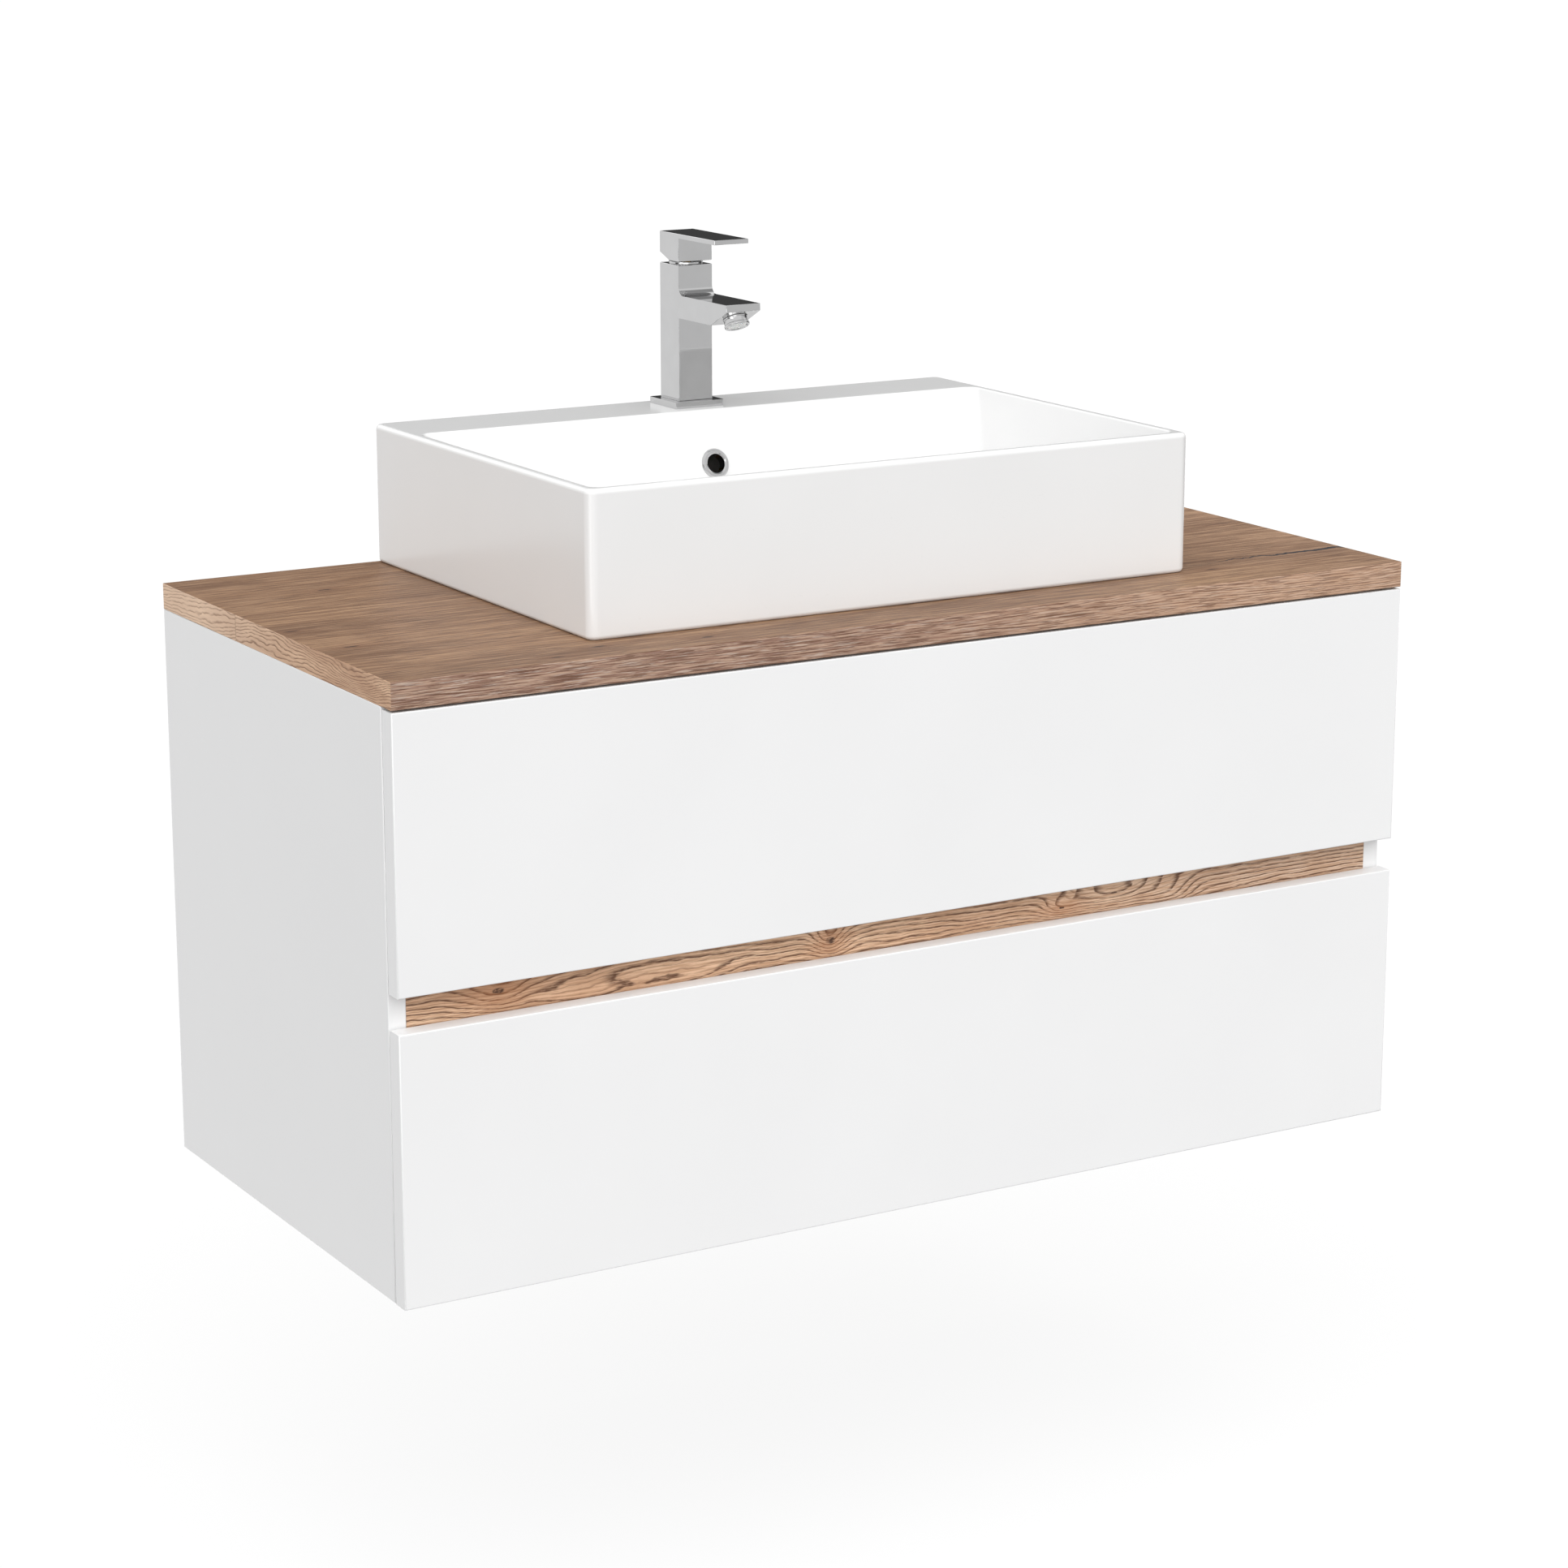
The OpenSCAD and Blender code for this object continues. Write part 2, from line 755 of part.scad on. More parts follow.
module drawer_bottom(box) {
    block([-box_in_x - groove, front_back_y, box[0] + groove_up],
          [box_in_x + groove, box_back_y, box[0] + groove_up + bottom_t]);
}

// A wall that stands on a drawer's bottom, as high as its sides
module drawer_wall(box, x, y) {
    block([x[0], y[0], box[0] + groove_up + bottom_t], [x[1], y[1], box[0] + box[1]]);
}

module upper_front() { drawer_front(front_h + grip_gap, upper_box); }

module upper_sides() { drawer_sides(upper_box); }

module upper_bottom() {
    color("whitesmoke") difference() {
        drawer_bottom(upper_box);
        translate([basin_x, 0, 0])
            block([-cutout_x, cutout_front_y, 0], [cutout_x, 0, carcass_h]);
    }
}

module upper_backs() {
    color("whitesmoke") {
        drawer_wall(upper_box, [-box_in_x, guard_x[0]], back_ys);
        drawer_wall(upper_box, [guard_x[1], box_in_x], back_ys);
    }
}

// The U-shaped wall that keeps the drawer's contents off the trap
module trap_guard() {
    inner = [guard_x[0] + box_side_t, guard_x[1] - box_side_t];
    ys = [cutout_front_y - box_side_t, box_back_y];
    color("whitesmoke") {
        drawer_wall(upper_box, [guard_x[0], inner[0]], ys);
        drawer_wall(upper_box, [inner[1], guard_x[1]], ys);
        drawer_wall(upper_box, guard_x, [ys[0], cutout_front_y]);
    }
}

module upper_fasteners() { color("silver") box_fasteners(upper_box); }

module lower_front() { drawer_front(0, lower_box); }

module lower_sides() { drawer_sides(lower_box); }

module lower_bottom() { color("whitesmoke") drawer_bottom(lower_box); }

module lower_back() {
    color("whitesmoke") drawer_wall(lower_box, [-box_in_x, box_in_x], back_ys);
}

module lower_fasteners() { color("silver") box_fasteners(lower_box); }

// ---------- runners ----------

// A channel section: m is [distance from the side panel, depth, half height], open towards +x
module channel(m, t = sheet_t) {
    translate([m[0], -m[2]]) difference() {
        square([m[1], 2 * m[2]]);
        translate([t, t]) square([m[1], 2 * (m[2] - t)]);
    }
}

module runner_cabinet_members() {
    color("silver") both_sides() difference() {
        for (b = [upper_box, lower_box]) runner_profile(b[2]) channel(outer_member);
        all_runner_screws(clear);
    }
}

module runner_middles(box) { color("silver") both_sides() runner_profile(box[2]) channel(middle_member); }

module runner_inners(box) {
    m = inner_member;
    color("silver") both_sides() difference() {
        runner_profile(box[2]) translate([m[0] + runner_t, 0]) mirror([1, 0, 0]) channel(m);
        for (y = screw_ys) box_screw(y, box[2], clear);
    }
}

// A ball retainer whose web lies against a member's web, with its two rows of balls
module ball_cage(z, web, balls) {
    start = (runner_l - cage_l) / 2;
    half_h = balls[1] + cage_t / 2;
    ys = [for (i = [-3:3]) runner_y + runner_l / 2 + i * ball_pitch];
    difference() {
        runner_profile(z, cage_l, start) channel([web, balls[0] + 2.4 - web, half_h], cage_t);
        for (y = ys) translate([inner_x - balls[0], y, z - half_h - 1])
            cylinder(r = ball_r + slack, h = 2 * half_h + 2);
    }
    for (y = ys, side = [-1, 1])
        translate([inner_x - balls[0], y, z + side * balls[1]]) sphere(ball_r, $fn = 24);
}

module ball_cages(box, member, balls) {
    color("goldenrod") both_sides() ball_cage(box[2], member[0] + sheet_t + slack, balls);
}

module upper_runner_middles() { runner_middles(upper_box); }

module upper_runner_inners() { runner_inners(upper_box); }

module upper_ball_cages_outer() { ball_cages(upper_box, outer_member, outer_balls); }

module upper_ball_cages_inner() { ball_cages(upper_box, middle_member, inner_balls); }

module lower_runner_middles() { runner_middles(lower_box); }

module lower_runner_inners() { runner_inners(lower_box); }

module lower_ball_cages_outer() { ball_cages(lower_box, outer_member, outer_balls); }

module lower_ball_cages_inner() { ball_cages(lower_box, middle_member, inner_balls); }

// ---------- nodes ----------

in_frame() {
    side_panel_left();
    side_panel_right();
    bottom_panel();
    front_rail();
    back_rail_top();
    back_rail_bottom();
    grip_strip();
    worktop();
    panel_fasteners();
    cabinet_screws();
    front_bumpers();
    hanger_housings();
    hanger_hooks();
    wall_plates();
    basin();
    overflow_ring();
    waste_body();
    waste_plug();
    waste_gasket();
    waste_locknut();
    trap_inlet_tube();
    trap_bottle();
    trap_cup();
    trap_nuts();
    trap_outlet_pipe();
    wall_rosette();
    tap_base_plate();
    tap_body();
    tap_collar();
    tap_cartridge();
    tap_rotor();
    tap_stem_pin();
    tap_stem();
    tap_lever();
    tap_lever_screw();
    aerator_shell();
    aerator_insert();
    tap_stud();
    tap_washer();
    tap_nut();
    upper_front();
    upper_sides();
    upper_bottom();
    upper_backs();
    trap_guard();
    upper_fasteners();
    lower_front();
    lower_sides();
    lower_bottom();
    lower_back();
    lower_fasteners();
    runner_cabinet_members();
    upper_runner_middles();
    upper_runner_inners();
    upper_ball_cages_outer();
    upper_ball_cages_inner();
    lower_runner_middles();
    lower_runner_inners();
    lower_ball_cages_outer();
    lower_ball_cages_inner();
}
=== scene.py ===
import json
import math

import bmesh
import bpy
from mathutils import Matrix, Vector

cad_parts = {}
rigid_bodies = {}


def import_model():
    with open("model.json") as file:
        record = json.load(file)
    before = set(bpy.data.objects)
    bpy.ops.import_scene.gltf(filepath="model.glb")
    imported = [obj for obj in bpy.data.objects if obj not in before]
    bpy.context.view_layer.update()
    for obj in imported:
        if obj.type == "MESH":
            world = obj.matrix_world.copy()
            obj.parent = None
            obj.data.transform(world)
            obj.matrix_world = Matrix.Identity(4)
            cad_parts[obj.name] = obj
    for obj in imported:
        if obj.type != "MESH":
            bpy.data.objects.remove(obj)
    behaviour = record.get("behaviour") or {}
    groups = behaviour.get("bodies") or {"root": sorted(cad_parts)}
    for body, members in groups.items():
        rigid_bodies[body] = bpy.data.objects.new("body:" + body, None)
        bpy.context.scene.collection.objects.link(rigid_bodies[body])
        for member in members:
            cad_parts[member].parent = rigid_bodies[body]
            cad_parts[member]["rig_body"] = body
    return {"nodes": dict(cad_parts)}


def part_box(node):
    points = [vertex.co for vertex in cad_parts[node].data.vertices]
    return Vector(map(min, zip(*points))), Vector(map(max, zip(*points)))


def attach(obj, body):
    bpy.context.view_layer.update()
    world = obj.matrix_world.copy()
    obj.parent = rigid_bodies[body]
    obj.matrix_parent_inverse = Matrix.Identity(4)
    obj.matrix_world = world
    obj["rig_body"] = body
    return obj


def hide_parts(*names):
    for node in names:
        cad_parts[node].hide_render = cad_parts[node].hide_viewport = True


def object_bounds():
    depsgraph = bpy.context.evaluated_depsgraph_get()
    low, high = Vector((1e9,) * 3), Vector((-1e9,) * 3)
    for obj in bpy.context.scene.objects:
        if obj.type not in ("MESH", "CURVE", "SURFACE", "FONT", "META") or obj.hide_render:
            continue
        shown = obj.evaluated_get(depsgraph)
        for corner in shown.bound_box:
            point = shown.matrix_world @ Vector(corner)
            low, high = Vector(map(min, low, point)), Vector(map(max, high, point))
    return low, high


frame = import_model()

bpy.context.view_layer.update()
CAD_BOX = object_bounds()
NODES = frame["nodes"]

MM = 0.001
WELD = 1e-6
FLAT = math.radians(0.5)
CORNER = math.radians(30)
SHARP = math.radians(42)
WIDE = 2 * MM

# Places that the shaped pieces share, all taken from the CAD
BASIN_LOW, BASIN_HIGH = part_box("basin")
COLUMN_LOW, COLUMN_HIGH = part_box("tap_base_plate")
MIDDLE_X = (BASIN_LOW.x + BASIN_HIGH.x) / 2


# ---------- finishes ----------

class Finish:
    """A material's node tree, with one short call for each kind of node. Lengths are in metres."""

    def __init__(self, name, **constants):
        self.material = bpy.data.materials.new(name)
        self.material.use_nodes = True
        self.tree = self.material.node_tree
        self.shader = self.tree.nodes["Principled BSDF"]
        self.place = self.node("ShaderNodeTexCoord")
        for key, value in constants.items():
            self.shader.inputs[key.replace("_", " ")].default_value = value

    def node(self, kind, inputs=None, **settings):
        made = self.tree.nodes.new(kind)
        for key, value in settings.items():
            setattr(made, key, value)
        for key, value in (inputs or {}).items():
            self.feed(made.inputs[key], value)
        return made

    def feed(self, socket, value):
        if isinstance(value, bpy.types.NodeSocket):
            self.tree.links.new(value, socket)
        else:
            socket.default_value = value

    def drive(self, name, value):
        self.feed(self.shader.inputs[name], value)

    def math(self, operation, *values):
        made = self.node("ShaderNodeMath", operation=operation)
        for index, value in enumerate(values):
            self.feed(made.inputs[index], value)
        return made.outputs[0]

    def add(self, first, *others):
        for other in others:
            first = self.math("ADD", first, other)
        return first

    def times(self, a, b):
        return self.math("MULTIPLY", a, b)

    def split(self, vector):
        return self.node("ShaderNodeSeparateXYZ", {0: vector}).outputs[:]

    def join(self, x, y, z):
        return self.node("ShaderNodeCombineXYZ", {0: x, 1: y, 2: z}).outputs[0]

    def stretched(self, vector, scale):
        return self.node("ShaderNodeVectorMath", {0: vector, 1: scale}, operation="MULTIPLY").outputs[0]

    def noise(self, vector, scale, detail=2.0, roughness=0.5, distortion=0.0):
        """Noise with its own number of cells to the metre along each axis."""
        inputs = {
            "Vector": self.stretched(vector, scale), "Scale": 1.0, "Detail": detail,
            "Roughness": roughness, "Distortion": distortion,
        }
        return self.node("ShaderNodeTexNoise", inputs).outputs[0]

    def cells(self, vector, scale, feature="F1", output="Distance"):
        inputs = {"Vector": vector, "Scale": scale}
        return self.node("ShaderNodeTexVoronoi", inputs, feature=feature).outputs[output]

    def span(self, value, low, high, to_low=0.0, to_high=1.0):
        """value between low and high, eased in and out, as a number between to_low and to_high."""
        inputs = {"Value": value, "From Min": low, "From Max": high, "To Min": to_low, "To Max": to_high}
        return self.node("ShaderNodeMapRange", inputs, interpolation_type="SMOOTHSTEP").outputs[0]

    def blend(self, share, a, b, how="MIX"):
        made = self.node("ShaderNodeMix", data_type="RGBA", blend_type=how)
        self.feed(made.inputs[0], share)
        self.feed(made.inputs[6], a)
        self.feed(made.inputs[7], b)
        return made.outputs[2]

    def ramp(self, value, *stops):
        made = self.node("ShaderNodeValToRGB", {0: value})
        elements = made.color_ramp.elements
        for index, (position, colour) in enumerate(stops):
            element = elements[index] if index < 2 else elements.new(position)
            element.position = position
            element.color = colour
        return made.outputs[0]

    def bump(self, height, depth, under=None):
        inputs = {"Height": height, "Distance": depth, "Strength": 1.0}
        if under:
            inputs["Normal"] = under
        return self.node("ShaderNodeBump", inputs).outputs[0]

    def hill(self, across, along, place, size):
        """1 at place, falling smoothly to 0 over size."""
        a = self.math("DIVIDE", self.math("SUBTRACT", along, place[0]), size[0])
        b = self.math("DIVIDE", self.math("SUBTRACT", across, place[1]), size[1])
        squares = self.add(self.times(a, a), self.times(b, b))
        return self.math("EXPONENT", self.times(squares, -1.0))


def srgb(red, green, blue):
    """A colour from its 0 to 255 values."""
    def linear(value):
        value /= 255
        return value / 12.92 if value < 0.04045 else ((value + 0.055) / 1.055) ** 2.4
    return (linear(red), linear(green), linear(blue), 1.0)


def grain_lines(f, along, across, spacing, sway, knots):
    """Growth lines at spacing, swaying sideways and turning round the knots: 1 on a line, 0 between."""
    at = f.join(along, across, 0.0)
    slow = f.math("SUBTRACT", f.noise(at, (5.0, 22.0, 1.0), 1.0), 0.5)
    quick = f.math("SUBTRACT", f.noise(at, (38.0, 70.0, 1.0), 2.0), 0.5)
    shift = f.add(f.times(slow, sway), f.times(quick, 0.16 * sway))
    field = f.math("DIVIDE", f.add(across, shift), spacing)
    for place, size, rings, _ in knots:
        field = f.add(field, f.times(f.hill(across, along, place, size), rings))
    phase = f.math("FRACT", field)
    edge = f.span(phase, 0.0, 0.10)
    fade = f.span(phase, 0.12, 0.50, 1.0, 0.0)
    broken = f.span(f.noise(at, (70.0, 700.0, 1.0), 3.0, 0.6), 0.34, 0.54, 0.30, 1.0)
    return f.times(f.times(edge, fade), broken)


def knot_cores(f, along, across, knots):
    """The dark hearts of the knots, each a little crack."""
    total = 0.0
    at = f.join(along, across, 0.0)
    ragged = f.span(f.noise(at, (260.0, 420.0, 1.0), 3.0), 0.35, 0.6, 0.35, 1.0)
    for place, size, _, core in knots:
        if core:
            heart = f.hill(across, along, place, (core * size[0], 0.7 * core * size[1]))
            total = f.add(f.span(heart, 0.35, 0.75), total)
    return f.times(total, ragged)


def fibres(f, at, along_scale, across_scale):
    """Fine streaks along the grain, from 0 to 1."""
    return f.noise(at, (along_scale, across_scale, 1.0), 4.0, 0.62)


# Knots on the strip and the worktop's end: ((along, across), (length, height), rings, core), in metres.
# The strip's are measured from the cabinet's middle, and the end's from the wall
STRIP_KNOTS = [
    ((-0.402, -0.1950), (0.030, 0.020), 2.6, 0.22),
    ((-0.330, -0.2120), (0.060, 0.013), 3.0, 0.0),
    ((-0.235, -0.2105), (0.050, 0.012), 2.4, 0.0),
    ((-0.088, -0.1985), (0.017, 0.016), 3.4, 0.34),
    ((0.060, -0.2010), (0.030, 0.006), 1.0, 0.10),
    ((0.149, -0.2035), (0.022, 0.009), 2.2, 0.16),
    ((0.205, -0.1975), (0.046, 0.017), 4.6, 0.10),
    ((0.262, -0.2060), (0.030, 0.014), 3.0, 0.0),
]
END_KNOTS = [
    ((-0.408, 0.052), (0.046, 0.012), 3.6, 0.0),
    ((-0.050, 0.050), (0.060, 0.013), 2.5, 0.0),
]
FLECKS = [
    (-0.470, -0.331), (-0.488, -0.251), (-0.296, -0.432), (-0.202, -0.4435), (0.330, -0.4135),
    (-0.390, -0.100), (0.410, -0.250), (0.360, -0.060), (-0.345, -0.452),
]
CRACK_Y = -0.3845
SEAM_Y, SEAM_Z = -0.162, 0.066
SEAM_STEP = 0.0013
END_SLOPE = 0.035


def strip_oak():
    """The warm oak of the grip strip: strong wandering growth lines that turn round knots."""
    f = Finish("oak_strip", Specular_IOR_Level=0.35)
    x, _, z = f.split(f.place.outputs["Object"])
    at = f.join(x, z, 0.0)
    lines = grain_lines(f, x, z, 0.0052, 0.030, STRIP_KNOTS)
    thin = grain_lines(f, x, z, 0.0023, 0.024, STRIP_KNOTS)
    streak = fibres(f, at, 24.0, 620.0)
    tone = f.noise(at, (4.0, 30.0, 1.0), 2.0)
    colour = f.ramp(tone, (0.38, srgb(218, 178, 146)), (0.62, srgb(240, 205, 173)))
    colour = f.blend(f.span(x, -0.1, 0.45, 0.0, 0.6), colour, srgb(222, 200, 180))
    colour = f.blend(f.span(streak, 0.42, 0.58, 0.0, 0.7), colour, srgb(192, 150, 117))
    colour = f.blend(f.times(thin, 0.60), colour, srgb(136, 94, 67))
    colour = f.blend(f.times(lines, 0.95), colour, srgb(88, 56, 38))
    for place, size, _, core in STRIP_KNOTS:
        if core > 0.15:
            halo = f.hill(z, x, place, (1.1 * size[0], 0.9 * size[1]))
            colour = f.blend(f.times(halo, 0.42), colour, srgb(176, 112, 66))
    colour = f.blend(knot_cores(f, x, z, STRIP_KNOTS), colour, srgb(66, 42, 32))
    pores = f.span(f.noise(at, (130.0, 2100.0, 1.0), 2.0), 0.62, 0.72)
    colour = f.blend(f.times(pores, 0.4), colour, srgb(128, 86, 58))
    f.drive("Base Color", colour)
    f.drive("Roughness", f.span(streak, 0.2, 0.8, 0.46, 0.62))
    f.drive("Normal", f.bump(f.add(streak, f.times(lines, -0.9), f.times(pores, -0.7)), 0.00012))
    return f.material


def top_face(f, x, y, at):
    """The worktop's calm upper face: brown oak with soft bands, dark flecks and one crack."""
    band = f.noise(at, (2.6, 17.0, 1.0), 3.0, 0.55)
    streak = fibres(f, at, 5.0, 150.0)
    fine = fibres(f, at, 14.0, 560.0)
    lines = grain_lines(f, x, y, 0.0075, 0.045, [])
    pores = f.span(f.noise(at, (22.0, 900.0, 3.0), 2.0), 0.55, 0.62)
    shades = (0.38, srgb(127, 96, 72)), (0.50, srgb(155, 120, 91)), (0.62, srgb(173, 137, 105))
    colour = f.ramp(band, *shades)
    colour = f.blend(f.span(x, 0.25, 0.5, 0.0, 0.5), colour, srgb(190, 153, 126))
    colour = f.blend(f.span(streak, 0.42, 0.58, 0.0, 0.75), colour, srgb(122, 89, 65))
    colour = f.blend(f.span(fine, 0.48, 0.60, 0.0, 0.50), colour, srgb(190, 156, 125))
    colour = f.blend(f.times(lines, 0.50), colour, srgb(96, 69, 53))
    colour = f.blend(f.times(pores, 0.70), colour, srgb(84, 60, 47))
    ragged = f.noise(at, (150.0, 500.0, 1.0), 2.0)
    for place in FLECKS:
        heart = f.hill(y, x, place, (0.0075, 0.0017))
        shade = f.hill(y, x, place, (0.024, 0.006))
        colour = f.blend(f.times(shade, 0.42), colour, srgb(120, 84, 62))
        colour = f.blend(f.span(f.times(heart, ragged), 0.12, 0.40), colour, srgb(58, 44, 38))
    wander = f.noise(f.join(x, 0.0, 0.0), (46.0, 1.0, 1.0), 3.0, 0.6)
    middle = f.add(CRACK_Y, f.span(wander, 0.2, 0.8, -0.0045, 0.0045))
    off = f.math("ABSOLUTE", f.math("SUBTRACT", y, middle))
    width = f.span(x, 0.32, 0.50, 0.0003, 0.0028)
    crack = f.span(f.math("DIVIDE", off, width), 0.6, 1.5, 1.0, 0.0)
    crack = f.times(crack, f.span(x, 0.325, 0.375))
    stain = f.hill(y, x, (0.462, CRACK_Y - 0.010), (0.040, 0.009))
    colour = f.blend(f.times(stain, 0.35), colour, srgb(104, 76, 62))
    colour = f.blend(crack, colour, srgb(44, 46, 52))
    height = f.add(f.times(streak, 0.6), f.times(fine, 0.5), f.times(crack, -2.5), f.times(lines, -0.3))
    return colour, height


def front_face(f, x, z, at):
    """The worktop's front edge: limed and coarse towards the left, with fine waves at the right."""
    coarse = f.noise(at, (22.0, 620.0, 1.0), 4.0, 0.65, 0.2)
    dashes = f.span(f.noise(at, (30.0, 860.0, 1.0), 3.0, 0.62, 0.25), 0.50, 0.60)
    limed = f.span(f.noise(at, (40.0, 640.0, 2.0), 3.0, 0.6, 0.2), 0.52, 0.64)
    waves = grain_lines(f, x, z, 0.0024, 0.020, [])
    right = f.span(x, -0.15, 0.38)
    colour = f.blend(right, srgb(146, 113, 97), srgb(196, 159, 132))
    colour = f.blend(f.span(coarse, 0.42, 0.58, 0.0, 0.60), colour, srgb(212, 180, 156))
    colour = f.blend(f.times(limed, f.span(x, -0.45, 0.45, 0.60, 0.20)), colour, srgb(205, 190, 178))
    colour = f.blend(f.times(dashes, f.span(x, 0.1, 0.5, 0.80, 0.55)), colour, srgb(104, 72, 56))
    colour = f.blend(f.times(waves, f.span(x, 0.0, 0.4, 0.25, 0.62)), colour, srgb(126, 84, 60))
    height = f.add(f.times(dashes, -0.9), f.times(coarse, 0.8), f.times(waves, -0.5))
    return colour, height


def end_face(f, y, z, at):
    """The worktop's ends: dark lines that roll in waves, with a seam a third of the way along."""
    behind = f.math("GREATER_THAN", y, SEAM_Y)
    across = f.add(z, f.times(behind, SEAM_STEP), f.times(y, END_SLOPE))
    lines = grain_lines(f, y, across, 0.0026, 0.038, END_KNOTS)
    streak = fibres(f, at, 40.0, 700.0)
    tone = f.noise(at, (9.0, 45.0, 1.0), 2.0)
    colour = f.ramp(tone, (0.38, srgb(198, 159, 129)), (0.62, srgb(224, 187, 155)))
    colour = f.blend(f.span(streak, 0.42, 0.60, 0.0, 0.5), colour, srgb(180, 140, 112))
    colour = f.blend(f.span(y, -0.36, -0.06, 0.0, 0.55), colour, srgb(246, 218, 192))
    inked = f.times(lines, f.span(y, -0.22, -0.06, 0.80, 0.50))
    colour = f.blend(inked, colour, srgb(112, 77, 56))
    seam = f.hill(z, y, (SEAM_Y, SEAM_Z), (0.0006, 0.014))
    colour = f.blend(f.times(seam, 0.55), colour, srgb(112, 80, 60))
    height = f.add(f.times(lines, -1.0), f.times(streak, 0.5))
    return colour, height


def worktop_oak():
    """The worktop's limed oak, with its own grain on the top, on the long edges and on the ends."""
    f = Finish("oak_worktop", Specular_IOR_Level=0.3)
    x, y, z = f.split(f.place.outputs["Object"])
    normal = f.split(f.place.outputs["Normal"])
    on_top = f.math("GREATER_THAN", f.math("ABSOLUTE", normal[2]), 0.7)
    on_end = f.math("GREATER_THAN", f.math("ABSOLUTE", normal[0]), 0.7)
    top_colour, top_height = top_face(f, x, y, f.join(x, y, 0.0))
    front_colour, front_height = front_face(f, x, z, f.join(x, z, 5.0))
    end_colour, end_height = end_face(f, y, z, f.join(y, z, 9.0))
    colour = f.blend(on_end, f.blend(on_top, front_colour, top_colour), end_colour)
    height = f.add(
        f.times(on_top, top_height), f.times(on_end, end_height),
        f.times(f.math("SUBTRACT", 1.0, f.add(on_top, on_end)), front_height),
    )
    f.drive("Base Color", colour)
    f.drive("Roughness", f.span(height, -1.0, 1.5, 0.62, 0.5))
    f.drive("Normal", f.bump(height, 0.00014))
    return f.material


def white_lacquer():
    """Matt white lacquer: a fine orange peel, and the faintest clouding."""
    f = Finish("white_lacquer", Specular_IOR_Level=0.3)
    at = f.place.outputs["Object"]
    cloud = f.noise(at, (7.0, 7.0, 7.0), 3.0)
    peel = f.noise(at, (850.0, 850.0, 850.0), 2.0, 0.55)
    f.drive("Base Color", f.ramp(cloud, (0.3, (0.866, 0.866, 0.868, 1)), (0.7, (0.882, 0.882, 0.884, 1))))
    f.drive("Roughness", f.span(cloud, 0.2, 0.8, 0.42, 0.50))
    f.drive("Normal", f.bump(peel, 0.000012))
    return f.material


def drawer_board():
    """White melamine board: a pearl grain that feels like fine leather."""
    f = Finish("drawer_board", Specular_IOR_Level=0.4)
    at = f.place.outputs["Object"]
    pearl = f.cells(at, 900.0)
    cloud = f.noise(at, (14.0, 14.0, 14.0), 3.0)
    f.drive("Base Color", f.ramp(cloud, (0.3, srgb(232, 232, 230)), (0.7, srgb(240, 240, 238))))
    f.drive("Roughness", f.span(pearl, 0.0, 0.9, 0.36, 0.55))
    f.drive("Normal", f.bump(pearl, 0.00002))
    return f.material


def glazed_white():
    """Glazed sanitary ware: a clear glossy coat over white clay, with the glaze's slow unevenness."""
    f = Finish("glazed_white", Roughness=0.20, IOR=1.42)
    at = f.place.outputs["Object"]
    pool = f.noise(at, (9.0, 9.0, 9.0), 2.0)
    specks = f.span(f.noise(at, (420.0, 420.0, 420.0), 1.0), 0.76, 0.82)
    white = f.ramp(pool, (0.3, (0.828, 0.828, 0.826, 1)), (0.7, (0.842, 0.842, 0.841, 1)))
    f.drive("Base Color", f.blend(f.times(specks, 0.06), white, srgb(150, 146, 140)))
    f.drive("Normal", f.bump(f.noise(at, (260.0, 260.0, 260.0), 2.0), 0.0000035, f.bump(pool, 0.00018)))
    return f.material


def chrome_plate():
    """Polished chrome, with faint wipe marks in its gloss."""
    f = Finish("chrome_plate", Metallic=1.0)
    at = f.place.outputs["Object"]
    haze = f.noise(at, (60.0, 60.0, 60.0), 3.0)
    wipes = f.noise(at, (90.0, 90.0, 1300.0), 3.0, 0.6)
    f.drive("Base Color", f.ramp(haze, (0.3, (0.56, 0.56, 0.563, 1)), (0.7, (0.58, 0.58, 0.583, 1))))
    f.drive("Roughness", f.add(f.span(haze, 0.35, 0.8, 0.025, 0.055), f.span(wipes, 0.55, 0.8, 0.0, 0.03)))
    f.drive("Normal", f.bump(wipes, 0.0000006))
    return f.material


def zinc_steel():
    """Zinc-plated steel: grey, with a frosted spangle and duller patches."""
    f = Finish("zinc_steel", Metallic=1.0)
    at = f.place.outputs["Object"]
    spangle = f.cells(at, 260.0, output="Color")
    patch = f.noise(at, (45.0, 45.0, 45.0), 4.0, 0.6)
    grey = f.ramp(patch, (0.3, srgb(168, 172, 178)), (0.7, srgb(204, 206, 208)))
    f.drive("Base Color", f.blend(0.12, grey, spangle, "OVERLAY"))
    f.drive("Roughness", f.span(patch, 0.25, 0.75, 0.26, 0.44))
    f.drive("Normal", f.bump(f.noise(at, (700.0, 700.0, 700.0), 2.0), 0.000008))
    return f.material


def bare_brass():
    """Turned brass, a little dulled, with the tool's rings."""
    f = Finish("bare_brass", Metallic=1.0)
    at = f.place.outputs["Object"]
    rings = f.noise(at, (2.0, 2.0, 2600.0), 2.0)
    dull = f.noise(at, (120.0, 120.0, 120.0), 3.0)
    f.drive("Base Color", f.ramp(dull, (0.3, srgb(170, 132, 66)), (0.7, srgb(212, 176, 98))))
    f.drive("Roughness", f.span(dull, 0.3, 0.8, 0.22, 0.42))
    f.drive("Normal", f.bump(rings, 0.000012))
    return f.material


